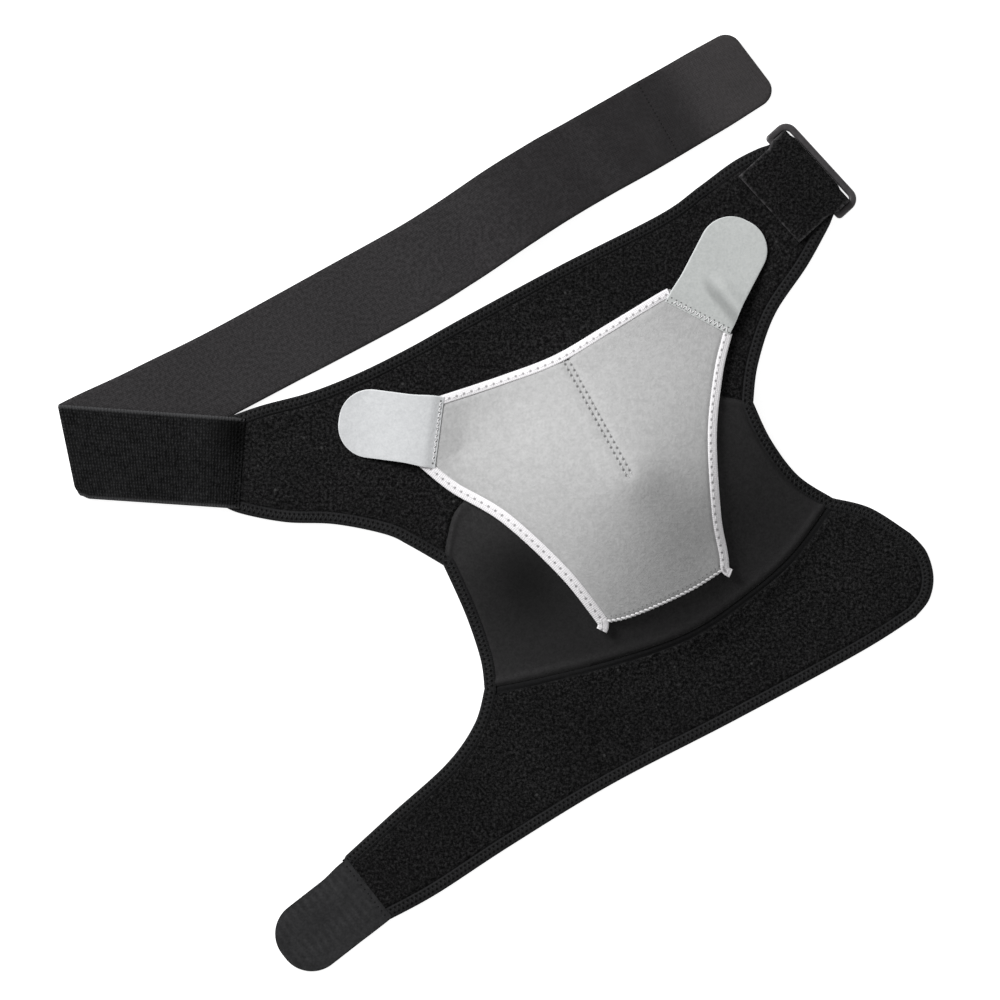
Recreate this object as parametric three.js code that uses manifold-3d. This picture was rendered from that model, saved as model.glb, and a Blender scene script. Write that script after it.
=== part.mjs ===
// A shoulder brace of sewn neoprene, off the body and lying flat: a chest band, a domed
// shoulder cap and an upper arm band, with an elastic strap, a keeper and its ring, a
// pressure pad and the hook tabs. Millimetres, +Z up.
import * as THREE from "three";
import { mergeVertices } from "three/addons/utils/BufferGeometryUtils.js";
import Module from "manifold-3d";

const wasm = await Module();
wasm.setup();

// Plan sizes of the three panels
const chestLength = 358; // from the strap end to the ring end, along the band's base line
const chestWidth = 100; // unit of the chest band's widths across its base line
const armLength = 357;
const armWidth = 70;
const armDrop = 249; // from the chest band's base line down to the arm band's
const armShift = 30; // how far the arm band starts before the chest band
const chestAngle = 26; // degrees, how the chest band lies to +X
const armTurn = 3; // degrees, the arm band to the chest band

// Thicknesses of the sheets and tapes
const bandThickness = 3;
const capThickness = 2.5;
const padThickness = 3;
const tapeThickness = 0.5;
const bindingWidth = 6.5;
const padBindingWidth = 4.6;

// The cap's dome, hollow underneath
const domeHeight = 32;
const domeLength = 116; // radius along the chest band
const domeBreadth = 106; // radius across it
const domeAlong = 0.55; // its centre, as shares of the chest band's length and width
const domeAcross = -1.154;

// Elastic strap
const strapWidth = 50;
const strapThickness = 1.7;
const ribbedLength = 95.5; // from the sewn end to the fold
const returnLength = 436; // from the fold to the free end
const strapOverlap = 11; // sewn on the chest band
const strapTurn = 150; // degrees, the ribbed leg to the chest band
const returnTurn = 1.5; // degrees, the returning leg to the chest band
const strapWave = 5; // height of the low wave in the returning leg
const strapCorner = 9; // radius of the free end's corners
const strapWidening = 1.01; // the sewn end's width, as a share of the strap's
const foldSettling = 0.25; // share of the returning leg over which the fold's offset fades
const hookPatchLength = 62;
const hookPatchThickness = 1.2;
const hookPatchMargin = 2;

// Keeper and ring
const keeperThickness = 1.6;
const keeperSewn = 25; // length that lies on the chest band
const keeperLoop = 10; // how far the fold reaches past the chest band
const ringTurn = 16.5; // degrees, the keeper to the chest band
const ringBar = 3.2;
const ringThickness = 2.8;
const ringBevel = 0.8;
const ringSlot = 8.8; // opening between the two long bars
const ringCorner = 4.5;
const ringSlack = 1.2; // the slot is this much longer than the strap is wide
const ringFoldBack = 150; // degrees, the furthest turn of the ring from lying level
const endMargin = 2; // how far the chest band's ring end is wider than the keeper, each side

// Pad and tabs
const padWidth = 188;
const padHeight = 160;
const tabThickness = 1.3;
const padTabWidth = 38;
const padTabLength = 53;
const tabOverlap = 6; // sewn on the pad
const tabDrop = 12; // length over which a tab comes down from the pad
const padTabRoundness = 0.92; // radius of the free end's corners, as a share of half the width
const leftTab = { turn: 146.5, reach: 0.95 }; // degrees to the dome's frame, share of the length
const rightTab = { turn: 36.5, reach: 1.06 };
const armTabWidth = 40;
const armTabLength = 61;
const armTabTurn = 189; // degrees, the tab to the arm band
const armTabRoundness = 0.8;

// Ramps between the levels of layers, with the margin that each keeps to its layer
const strapRamp = { margin: 2, length: 22 }; // of the panels beside the strap under them
const keeperRamp = { margin: 3, length: 35 }; // of the chest band before the keeper
const ribbedRamp = { margin: 2, length: 25 }; // of the strap beyond the chest band
const patchRamp = { margin: 3, length: 12 }; // of the strap before its hook patch

const padStandoff = 0.8; // clearance under the pad and its tabs, which lie loose
const gap = 0.3; // clearance between neighbours
const stationLength = 12; // longest facet along an edge
const chestRows = 7;
const armTipCells = 7;
const bulgeRows = 3; // more rows in the cap, for its bulge
const ribbedCells = 9;
const foldCells = 6;
const padTabCells = 3;
const padSideCells = 10;
const padTopCells = 13;

// Looks of the materials in the CAD
const loopPile = { color: 0x151515, roughness: 1 };
const smoothNeoprene = { color: 0x222122, roughness: 0.8 };
const edgeTape = { color: 0x1a1a1a, roughness: 0.9 };
const elasticWeb = { color: 0x343234, roughness: 0.9 };
const strapHook = { color: 0x1c1c1c, roughness: 0.9 };
const keeperPile = { color: 0x191819, roughness: 1 };
const ringPlastic = { color: 0x413f41, roughness: 0.45 };
const padNeoprene = { color: 0xbebebe, roughness: 0.9 };
const padTape = { color: 0xece9ec, roughness: 0.9 };
const padTabCloth = { color: 0xcad0d0, roughness: 0.9 };
const armHook = { color: 0x303132, roughness: 0.9 };

// Edges of the panels: along and across are shares of the band's length and width, from its base line.
const chestTop = [
  { along: 0.094, across: 0.187 },
  { along: 0.17, across: 0.135 },
  { along: 0.253, across: 0.113 },
  { along: 0.34, across: 0.116 },
  { along: 0.429, across: 0.134 },
  { along: 0.605, across: 0.16 },
  { along: 0.778, across: 0.171 },
  { along: 0.85, across: 0.213 },
  { along: 0.92, across: 0.258 },
];
const chestStrapSide = [
  { along: -0.01, across: -0.299 },
  { along: 0.047, across: -0.453 },
  { along: 0.115, across: -0.585 },
  { along: 0.178, across: -0.757 },
  { along: 0.205, across: -0.877 },
  { along: 0.238, across: -1.053 },
];
const chestSeam = [
  { along: 0.238, across: -1.053 },
  { along: 0.263, across: -0.918 },
  { along: 0.299, across: -0.795 },
  { along: 0.381, across: -0.722 },
  { along: 0.502, across: -0.718 },
  { along: 0.618, across: -0.754 },
  { along: 0.711, across: -0.83 },
  { along: 0.78, across: -0.994 },
];
const chestRingSide = [
  { along: 0.78, across: -0.994 },
  { along: 0.813, across: -0.817 },
  { along: 0.871, across: -0.608 },
  { along: 0.951, across: -0.439 },
];
const armUpperLeft = [
  { along: -0.018, across: 0.313 },
  { along: 0.085, across: 0.44 },
  { along: 0.198, across: 0.575 },
  { along: 0.266, across: 0.744 },
  { along: 0.306, across: 0.949 },
];
const armSeam = [
  { along: 0.306, across: 0.949 },
  { along: 0.395, across: 0.805 },
  { along: 0.506, across: 0.656 },
  { along: 0.623, across: 0.559 },
  { along: 0.721, across: 0.591 },
  { along: 0.823, across: 0.7 },
  { along: 0.924, across: 0.933 },
];
const armUpperRight = [
  { along: 0.924, across: 0.933 },
  { along: 0.968, across: 0.718 },
  { along: 1.003, across: 0.39 },
];
const armTip = [
  { along: 1.003, across: 0.39 },
  { along: 1.011, across: 0.204 },
  { along: 1.002, across: 0.003 },
  { along: 0.979, across: -0.141 },
  { along: 0.947, across: -0.212 },
];
const armLower = [
  { along: -0.011, across: -0.285 },
  { along: 0.084, across: -0.292 },
  { along: 0.223, across: -0.241 },
  { along: 0.405, across: -0.203 },
  { along: 0.624, across: -0.233 },
  { along: 0.845, across: -0.243 },
  { along: 0.947, across: -0.212 },
];

// The cap's free edges: shares of the straight line between two seam ends, bow towards the cap.
const capLeft = [
  { along: 0.409, bow: 0.042 },
  { along: 0.772, bow: 0.043 },
];
const capRight = [
  { along: 0.317, bow: 0.084 },
  { along: 0.678, bow: 0.1 },
];

// The pad's edges: shares of its width and height, from the dome's centre.
const padTop = [
  { along: -0.387, across: 0.597 },
  { along: -0.192, across: 0.566 },
  { along: -0.028, across: 0.549 },
  { along: 0.147, across: 0.565 },
  { along: 0.334, across: 0.585 },
  { along: 0.367, across: 0.582 },
];
const padRight = [
  { along: 0.471, across: 0.344 },
  { along: 0.393, across: 0.234 },
  { along: 0.293, across: 0.048 },
  { along: 0.207, across: -0.192 },
  { along: 0.176, across: -0.325 },
  { along: 0.161, across: -0.374 },
];
const padBottom = [
  { along: -0.261, across: -0.352 },
  { along: -0.163, across: -0.382 },
  { along: 0.022, across: -0.391 },
  { along: 0.161, across: -0.374 },
];
const padLeft = [
  { along: -0.531, across: 0.409 },
  { along: -0.479, across: 0.279 },
  { along: -0.383, across: 0.107 },
  { along: -0.299, across: -0.149 },
  { along: -0.261, across: -0.352 },
];

// The returning leg of the strap: along is a share of its length, sway and width of the
// strap's width, lift of the wave's height.
const strapRun = [
  { along: 0, sway: 0, width: 1.02, lift: 0 },
  { along: 0.12, sway: 0, width: 0.97, lift: 0 },
  { along: 0.23, sway: 0, width: 0.95, lift: 0 },
  { along: 0.46, sway: 0.03, width: 0.98, lift: 0 },
  { along: 0.55, sway: 0.075, width: 0.97, lift: 0.3 },
  { along: 0.64, sway: 0.165, width: 0.96, lift: 1 },
  { along: 0.7, sway: 0.22, width: 0.94, lift: 0.7 },
  { along: 0.76, sway: 0.245, width: 0.92, lift: 0.1 },
  { along: 0.83, sway: 0.265, width: 0.92, lift: 0 },
  { along: 0.92, sway: 0.31, width: 0.9, lift: 0 },
  { along: 1, sway: 0.35, width: 0.86, lift: 0 },
];

// A place on the table plane with its own directions along and across.
class Frame {
  constructor(origin, degrees) {
    this.origin = origin;
    this.degrees = degrees;
    const angle = THREE.MathUtils.degToRad(degrees);
    this.alongAxis = new THREE.Vector2(Math.cos(angle), Math.sin(angle));
    this.acrossAxis = new THREE.Vector2(-Math.sin(angle), Math.cos(angle));
  }
  at(along, across) {
    const place = this.origin.clone().addScaledVector(this.alongAxis, along);
    return place.addScaledVector(this.acrossAxis, across);
  }
  local(point) {
    const offset = point.clone().sub(this.origin);
    return new THREE.Vector2(offset.dot(this.alongAxis), offset.dot(this.acrossAxis));
  }
}

const chest = new Frame(new THREE.Vector2(0, 0), chestAngle);
const arm = new Frame(chest.at(-armShift, -armDrop), chestAngle + armTurn);
const dome = new Frame(chest.at(domeAlong * chestLength, domeAcross * chestWidth), chestAngle);
const ringPlace = new Frame(chest.at(chestLength, 0), chestAngle + ringTurn);
const strapHeading = chestAngle + strapTurn;
const strapEnd = new Frame(chest.origin, strapHeading);
const ribbed = new Frame(strapEnd.at(-strapOverlap, 0), strapHeading);
const foldDegrees = (strapHeading + chestAngle + returnTurn) / 2;
const returning = new Frame(ribbed.at(ribbedLength, 0), chestAngle + returnTurn);

// Heights of the stack where the keeper, the chest band and the ring lie on each other
const ringGirth = Math.hypot(ringBar, ringThickness - 2 * ringBevel);
const keeperInside = Math.max(bandThickness, ringGirth) + 2 * gap;
const ringEndLift = keeperThickness + (keeperInside - bandThickness) / 2;
const ringAxisHeight = keeperThickness + keeperInside / 2;
const ringAxisAlong = gap + ringBar / 2;
const ringReach = ringSlot + ringBar; // from the inner bar's middle to the outer bar's
const ringInside = strapWidth + ringSlack;

function smooth(share) {
  const t = THREE.MathUtils.clamp(share, 0, 1);
  return t * t * (3 - 2 * t);
}

// Share of a ramp that a distance beyond its start has risen.
function risen(distance, ramp) {
  return smooth((distance - ramp.margin) / ramp.length);
}

// Height of the panels' underside above the table: a dome under the cap, a small lift over
// the returning strap and another over the keeper's lower layer.
function lie(point) {
  const onDome = dome.local(point);
  const far = (onDome.x / domeLength) ** 2 + (onDome.y / domeBreadth) ** 2;
  const bulge = domeHeight * Math.max(0, 1 - far) ** 2;
  const belowStrap = -returning.local(point).y - strapWidth / 2;
  const overStrap = (strapThickness + gap) * (1 - risen(belowStrap, strapRamp));
  const beforeKeeper = -keeperSewn - ringPlace.local(point).x;
  const overKeeper = ringEndLift * (1 - risen(beforeKeeper, keeperRamp));
  return bulge + Math.max(overStrap, overKeeper);
}

// A closed shell from shared vertices, with its faces turned outwards.
function shell(vertices, triangles) {
  let volume = 0;
  for (const [a, b, c] of triangles) {
    volume += vertices[a].dot(vertices[b].clone().cross(vertices[c]));
  }
  const turned = volume < 0 ? triangles.map(([a, b, c]) => [a, c, b]) : triangles;
  const geometry = new THREE.BufferGeometry().setFromPoints(vertices);
  geometry.setIndex(turned.flat());
  return geometry;
}

// A sheet between two grids of points, closed round its rim.
function slab(under, over) {
  const rows = under.length;
  const columns = under[0].length;
  const vertices = [...under.flat(), ...over.flat()];
  const low = (row, column) => row * columns + column;
  const high = (row, column) => rows * columns + low(row, column);
  const triangles = [];
  const quad = (a, b, c, d) => triangles.push([a, b, c], [a, c, d]);
  for (let row = 0; row + 1 < rows; row++) {
    for (let column = 0; column + 1 < columns; column++) {
      quad(high(row, column), high(row, column + 1), high(row + 1, column + 1), high(row + 1, column));
      quad(low(row, column), low(row + 1, column), low(row + 1, column + 1), low(row, column + 1));
    }
  }
  for (let row = 0; row + 1 < rows; row++) {
    const last = columns - 1;
    quad(low(row, 0), high(row, 0), high(row + 1, 0), low(row + 1, 0));
    quad(low(row, last), low(row + 1, last), high(row + 1, last), high(row, last));
  }
  for (let column = 0; column + 1 < columns; column++) {
    const last = rows - 1;
    quad(low(0, column), low(0, column + 1), high(0, column + 1), high(0, column));
    quad(low(last, column), high(last, column), high(last, column + 1), low(last, column + 1));
  }
  return shell(vertices, triangles);
}

function raised(point, height) {
  return new THREE.Vector3(point.x, point.y, height);
}

// A sheet of even thickness laid on a height function.
function drape(grid, height, thickness) {
  const under = grid.map((row) => row.map((point) => raised(point, height(point))));
  const over = grid.map((row) => row.map((point) => raised(point, height(point) + thickness)));
  return slab(under, over);
}

function edgeCurve(points) {
  return new THREE.SplineCurve(points);
}

function placed(rows, frame, length, width) {
  return rows.map((row) => frame.at(row.along * length, row.across * width));
}

// Even stations on a curve, between two shares of its length.
function stations(curve, count, from = 0, to = 1) {
  return Array.from({ length: count + 1 }, (_, index) => {
    return curve.getPointAt(THREE.MathUtils.lerp(from, to, index / count));
  });
}

function stationCount(curve) {
  return Math.round(curve.getLength() / stationLength);
}

function straight(from, to, count) {
  return stations(new THREE.LineCurve(from, to), count);
}

// Runs of stations joined end to end.
function joined(...runs) {
  return runs.flatMap((run, index) => (index ? run.slice(1) : run));
}

// A surface patch stretched between four edges: top and bottom run one way, left and right the other.
function patch(top, bottom, left, right) {
  const columns = top.length - 1;
  const rows = left.length - 1;
  return left.map((leftPoint, row) => {
    const v = row / rows;
    return top.map((topPoint, column) => {
      const u = column / columns;
      const acrossEdges = leftPoint.clone().lerp(right[row], u);
      const alongEdges = topPoint.clone().lerp(bottom[column], v);
      const upper = top[0].clone().lerp(top[columns], u);
      const lower = bottom[0].clone().lerp(bottom[columns], u);
      return acrossEdges.add(alongEdges).sub(upper.lerp(lower, v));
    });
  });
}

// A section carried along a path on a height function. In the section, x is the distance to
// the left of the path and y the height.
function sweep(path, section, height) {
  const vertices = [];
  path.forEach((point, index) => {
    const before = path[Math.max(index - 1, 0)];
    const after = path[Math.min(index + 1, path.length - 1)];
    const into = point.clone().sub(before).normalize();
    const out = after.clone().sub(point).normalize();
    const heading = into.add(out).normalize();
    const halfTurn = index && index < path.length - 1 ? heading.dot(out) : 1;
    const left = new THREE.Vector2(-heading.y, heading.x).divideScalar(halfTurn);
    for (const corner of section) {
      const place = point.clone().addScaledVector(left, corner.x);
      vertices.push(raised(place, height(place) + corner.y));
    }
  });
  const count = section.length;
  const triangles = [];
  for (let ring = 0; ring + 1 < path.length; ring++) {
    for (let corner = 0; corner < count; corner++) {
      const a = ring * count + corner;
      const b = ring * count + ((corner + 1) % count);
      triangles.push([a, b, b + count], [a, b + count, a + count]);
    }
  }
  const end = (path.length - 1) * count;
  for (const [a, b, c] of THREE.ShapeUtils.triangulateShape(section, [])) {
    triangles.push([a, c, b], [end + a, end + b, end + c]);
  }
  return shell(vertices, triangles);
}

function lengthened(path, length) {
  const start = path[0].clone().sub(path[1]).setLength(length).add(path[0]);
  const end = path.at(-1).clone().sub(path.at(-2)).setLength(length).add(path.at(-1));
  return [start, ...path, end];
}

// The section of a tape folded over an edge: inner faces grown by one margin, outer ones by another.
function foldedTape(width, thickness, margin, outer) {
  const reach = width + margin;
  const inside = tapeThickness + margin;
  return [
    new THREE.Vector2(reach, thickness + outer),
    new THREE.Vector2(-outer, thickness + outer),
    new THREE.Vector2(-outer, -outer),
    new THREE.Vector2(reach, -outer),
    new THREE.Vector2(reach, inside),
    new THREE.Vector2(inside, inside),
    new THREE.Vector2(inside, thickness - inside),
    new THREE.Vector2(reach, thickness - inside),
  ];
}

// A binding on an edge that runs with its sheet on the left, and the room that it takes from the sheet.
function binding(path, width, thickness, height) {
  return {
    tape: sweep(path, foldedTape(width, thickness, 0, 0), height),
    room: sweep(lengthened(path, width), foldedTape(width, thickness, gap, thickness / 2), height),
  };
}

// The strip that separates a sheet from its neighbour at a seam, on the left of the path.
function seamRoom(path) {
  const low = -bandThickness;
  const high = 2 * bandThickness;
  const section = [
    new THREE.Vector2(gap, low),
    new THREE.Vector2(gap, high),
    new THREE.Vector2(-gap, high),
    new THREE.Vector2(-gap, low),
  ];
  return sweep(lengthened(path, bindingWidth), section, lie);
}

function solidOf(geometry) {
  const bare = geometry.clone();
  bare.deleteAttribute("normal");
  bare.deleteAttribute("uv");
  const merged = mergeVertices(bare);
  return new wasm.Manifold(
    new wasm.Mesh({
      numProp: 3,
      vertProperties: new Float32Array(merged.attributes.position.array),
      triVerts: new Uint32Array(merged.index.array),
    }),
  );
}

function cut(geometry, ...rooms) {
  const solid = rooms.reduce((rest, room) => rest.subtract(solidOf(room)), solidOf(geometry));
  const mesh = solid.getMesh();
  const result = new THREE.BufferGeometry();
  result.setAttribute("position", new THREE.Float32BufferAttribute(mesh.vertProperties, 3));
  result.setIndex(Array.from(mesh.triVerts));
  return result;
}

// Half the width of a strip at a distance from its rounded end.
function roundedHalf(half, radius, fromEnd) {
  const into = THREE.MathUtils.clamp(radius - fromEnd, 0, radius);
  return half - radius + Math.sqrt(radius ** 2 - into ** 2);
}

// Distances along a strip that close up towards its rounded end.
function roundedStations(length, radius, step) {
  const body = Math.max(1, Math.round((length - radius) / step));
  const onBody = Array.from({ length: body + 1 }, (_, index) => ((length - radius) * index) / body);
  const turns = [0.25, 0.5, 0.75, 1];
  return [...onBody, ...turns.map((turn) => length - radius + radius * Math.sin((turn * Math.PI) / 2))];
}

// A flat strip with one rounded end, sewn on at its start.
function tab(frame, length, width, roundness, height) {
  const half = width / 2;
  const radius = half * roundness;
  const columns = [-1, -0.5, 0, 0.5, 1];
  const grid = roundedStations(length, radius, stationLength / 2).map((along) => {
    return columns.map((side) => frame.at(along, side * roundedHalf(half, radius, length - along)));
  });
  return drape(grid, (point) => height(point, frame.local(point).x), tabThickness);
}

// The outline, as stations
const strapCornerShare = 0.465; // of the strap's width, where the band's corners lie under it
const chestStart = {
  top: strapEnd.at(0, -strapCornerShare * strapWidth),
  bottom: strapEnd.at(0, strapCornerShare * strapWidth),
};
const ringEndHalf = strapWidth / 2 + endMargin;
const chestEnd = { top: ringPlace.at(0, ringEndHalf), bottom: ringPlace.at(0, -ringEndHalf) };
const onChest = (rows) => placed(rows, chest, chestLength, chestWidth);
const onArm = (rows) => placed(rows, arm, armLength, armWidth);

const topCurve = edgeCurve([chestStart.top, ...onChest(chestTop), chestEnd.top]);
const strapSideCurve = edgeCurve([chestStart.bottom, ...onChest(chestStrapSide)]);
const chestSeamCurve = edgeCurve(onChest(chestSeam));
const ringSideCurve = edgeCurve([...onChest(chestRingSide), chestEnd.bottom]);
const armUpperLeftCurve = edgeCurve(onArm(armUpperLeft));
const armSeamCurve = edgeCurve(onArm(armSeam));
const armUpperRightCurve = edgeCurve(onArm(armUpperRight));
const armTipCurve = edgeCurve(onArm(armTip));
const armLowerCurve = edgeCurve(onArm(armLower));

function bowed(from, to, rows, side) {
  const chord = to.clone().sub(from);
  const inward = new THREE.Vector2(-chord.y, chord.x).multiplyScalar(side);
  const points = rows.map((row) => {
    return from.clone().addScaledVector(chord, row.along).addScaledVector(inward, row.bow);
  });
  return edgeCurve([from, ...points, to]);
}
const capLeftCurve = bowed(chestSeamCurve.points[0], armSeamCurve.points[0], capLeft, 1);
const capRightCurve = bowed(chestSeamCurve.points.at(-1), armSeamCurve.points.at(-1), capRight, -1);

// The chest band: its lower side has a free edge, the cap's seam and a second free edge, each
// facing the stretch of the upper side above it.
const topSplit = { first: 0.25, second: 0.79 };
const strapSideCount = stationCount(strapSideCurve);
const seamCount = stationCount(chestSeamCurve);
const ringSideCount = stationCount(ringSideCurve);
const strapSide = stations(strapSideCurve, strapSideCount);
const chestSeamRun = stations(chestSeamCurve, seamCount);
const ringSide = stations(ringSideCurve, ringSideCount);
const topRun = joined(
  stations(topCurve, strapSideCount, 0, topSplit.first),
  stations(topCurve, seamCount, topSplit.first, topSplit.second),
  stations(topCurve, ringSideCount, topSplit.second, 1),
);
const chestGrid = patch(
  topRun,
  joined(strapSide, chestSeamRun, ringSide),
  straight(chestStart.top, chestStart.bottom, chestRows),
  straight(chestEnd.top, chestEnd.bottom, chestRows),
);

// The arm band, whose upper side has two free edges beside the cap's seam
const lowerSplit = { first: 0.31, second: 0.955 };
const upperLeftCount = stationCount(armUpperLeftCurve);
const upperRightCount = stationCount(armUpperRightCurve);
const armSeamRun = stations(armSeamCurve, seamCount);
const armUpperLeftRun = stations(armUpperLeftCurve, upperLeftCount);
const armUpperRightRun = stations(armUpperRightCurve, upperRightCount);
const armTipRun = stations(armTipCurve, armTipCells);
const armLowerRun = joined(
  stations(armLowerCurve, upperLeftCount, 0, lowerSplit.first),
  stations(armLowerCurve, seamCount, lowerSplit.first, lowerSplit.second),
  stations(armLowerCurve, upperRightCount, lowerSplit.second, 1),
);
const armGrid = patch(
  joined(armUpperLeftRun, armSeamRun, armUpperRightRun),
  armLowerRun,
  straight(armUpperLeftRun[0], armLowerRun[0], armTipCells),
  armTipRun,
);

// The cap between the two seams
const capRows = stationCount(capLeftCurve) + bulgeRows;
const capLeftRun = stations(capLeftCurve, capRows);
const capRightRun = stations(capRightCurve, capRows);
const capGrid = patch(chestSeamRun, armSeamRun, capLeftRun, capRightRun);

const backwards = (run) => [...run].reverse();
const topBinding = binding(backwards(topRun), bindingWidth, bandThickness, lie);
const leftBinding = binding(
  joined(strapSide, capLeftRun, backwards(armUpperLeftRun)),
  bindingWidth,
  bandThickness,
  lie,
);
const armRight = joined(backwards(armTipRun), backwards(armUpperRightRun));
const rightBinding = binding(
  joined(armLowerRun, armRight, backwards(capRightRun), ringSide),
  bindingWidth,
  bandThickness,
  lie,
);

// Room for the ring: everything beyond its inner bar, and beside the bar as far back as the
// ring's arms reach when it is folded back
const ringArmBack = (() => {
  const back = THREE.MathUtils.degToRad(180 - ringFoldBack);
  const armHalf = ringThickness / 2 / Math.cos(back);
  const rise = ringEndLift + bandThickness + gap - ringAxisHeight;
  return ringAxisAlong - (rise + armHalf) / Math.tan(back);
})();
const ringRoom = (() => {
  const beside = ringInside / 2 - gap;
  const wide = ringInside + 2 * endMargin;
  const shape = new THREE.Shape([
    new THREE.Vector2(0, -beside),
    new THREE.Vector2(ringArmBack, -beside),
    new THREE.Vector2(ringArmBack, -wide),
    new THREE.Vector2(ringReach, -wide),
    new THREE.Vector2(ringReach, wide),
    new THREE.Vector2(ringArmBack, wide),
    new THREE.Vector2(ringArmBack, beside),
    new THREE.Vector2(0, beside),
  ]);
  const geometry = new THREE.ExtrudeGeometry(shape, { depth: 4 * bandThickness, bevelEnabled: false });
  geometry.rotateZ(THREE.MathUtils.degToRad(ringPlace.degrees));
  geometry.translate(ringPlace.origin.x, ringPlace.origin.y, -bandThickness);
  return geometry;
})();

// Elastic strap: a ribbed leg on the chest band's end, a flat oblique fold and the leg that
// returns underneath. Its stations turn until they lie along the fold, then back again.
const rollRadius = (strapThickness + gap) / 2;
const foldLine = new Frame(returning.origin, foldDegrees);
const foldSlant = THREE.MathUtils.degToRad(strapHeading - foldDegrees);
const foldShear = 1 / Math.tan(foldSlant);
const strapSides = [-1, -0.5, 0, 0.5, 1];

function strapProfile(share) {
  const next = Math.max(1, strapRun.findIndex((row) => row.along >= share));
  const [a, b] = [strapRun[next - 1], strapRun[next]];
  const t = smooth((share - a.along) / (b.along - a.along));
  const between = (key) => THREE.MathUtils.lerp(a[key], b[key], t);
  return { width: between("width"), lift: between("lift") };
}

const returnCurve = edgeCurve(
  strapRun.map((row) => returning.at(row.along * returnLength, row.sway * strapWidth)),
);

function ribbedStation(share) {
  const along = ribbedLength * share;
  const half = (strapWidth / 2) * THREE.MathUtils.lerp(strapWidening, strapRun[0].width, share);
  const down = risen(along - strapOverlap, ribbedRamp);
  return strapSides.map((side) => {
    const across = -side * half;
    const place = ribbed.at(along - share * foldShear * across, across);
    const onChest = lie(place) + bandThickness + 2 * gap;
    const height = THREE.MathUtils.lerp(onChest, strapThickness + gap, down);
    return { inner: raised(place, height), outer: raised(place, height + strapThickness) };
  });
}

function foldStation(angle) {
  const half = ((strapWidth / 2) * strapRun[0].width) / Math.sin(foldSlant);
  return strapSides.map((side) => {
    const slide = angle * rollRadius * foldShear;
    const at = (radius) => {
      const place = foldLine.at(side * half + slide, radius * Math.sin(angle));
      return raised(place, strapThickness / 2 + rollRadius + radius * Math.cos(angle));
    };
    return { inner: at(rollRadius - strapThickness / 2), outer: at(rollRadius + strapThickness / 2) };
  });
}

// A point on the returning leg: share of its length, side from -1 to 1.
function returnPlace(share, side, inset = 0) {
  const centre = returnCurve.getPointAt(share);
  const tangent = returnCurve.getTangentAt(share);
  const fullHalf = (strapWidth / 2) * strapProfile(share).width - inset;
  const fromEnd = returnLength * (1 - share) - inset;
  const half = roundedHalf(fullHalf, strapCorner - inset, fromEnd);
  const slant = (1 - smooth((share * returnLength) / strapWidth)) * foldShear * side * half;
  const slide = foldLine.alongAxis.clone().multiplyScalar(Math.PI * rollRadius * foldShear);
  return centre
    .addScaledVector(tangent, slant)
    .addScaledVector(new THREE.Vector2(-tangent.y, tangent.x), side * half)
    .addScaledVector(slide, 1 - smooth(share / foldSettling));
}

function returnStation(share) {
  const beforePatch = returnLength * (1 - share) - hookPatchLength;
  const overPatch = 1 - risen(beforePatch, patchRamp);
  const height = strapWave * strapProfile(share).lift + (hookPatchThickness + gap) * overPatch;
  return strapSides.map((side) => {
    const place = returnPlace(share, side);
    return { inner: raised(place, height + strapThickness), outer: raised(place, height) };
  });
}

function elasticStrap() {
  const ribbedShares = Array.from({ length: ribbedCells + 1 }, (_, index) => index / ribbedCells);
  const foldAngles = Array.from({ length: foldCells - 1 }, (_, index) => {
    return ((index + 1) * Math.PI) / foldCells;
  });
  const returnDistances = roundedStations(returnLength, strapCorner, stationLength);
  const returnShares = returnDistances.map((along) => along / returnLength);
  const rows = [
    ...ribbedShares.map(ribbedStation),
    ...foldAngles.map(foldStation),
    ...returnShares.map(returnStation),
  ];
  return slab(
    rows.map((row) => row.map((place) => place.inner)),
    rows.map((row) => row.map((place) => place.outer)),
  );
}

function strapHookPatch() {
  const length = hookPatchLength - hookPatchMargin;
  const distances = roundedStations(length, strapCorner - hookPatchMargin, stationLength);
  const grid = distances.map((along) => {
    const share = (returnLength - hookPatchLength + along) / returnLength;
    return strapSides.map((side) => returnPlace(share, side, hookPatchMargin));
  });
  return drape(grid, () => 0, hookPatchThickness);
}

// The keeper: a strip folded round the ring's inner bar, its two layers holding the band's end.
function strapKeeper() {
  const inside = keeperInside / 2;
  const outside = inside + keeperThickness;
  const bend = keeperLoop - outside;
  const shape = new THREE.Shape();
  shape.moveTo(-keeperSewn, 0);
  shape.lineTo(bend, 0);
  shape.absarc(bend, outside, outside, -Math.PI / 2, Math.PI / 2, false);
  shape.lineTo(-keeperSewn, 2 * outside);
  shape.lineTo(-keeperSewn, 2 * outside - keeperThickness);
  shape.lineTo(bend, 2 * outside - keeperThickness);
  shape.absarc(bend, outside, inside, Math.PI / 2, -Math.PI / 2, true);
  shape.lineTo(-keeperSewn, keeperThickness);
  shape.closePath();
  const geometry = new THREE.ExtrudeGeometry(shape, {
    depth: strapWidth,
    bevelEnabled: false,
    curveSegments: 10,
  });
  geometry.rotateX(Math.PI / 2);
  geometry.translate(0, strapWidth / 2, 0);
  return geometry;
}

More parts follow.
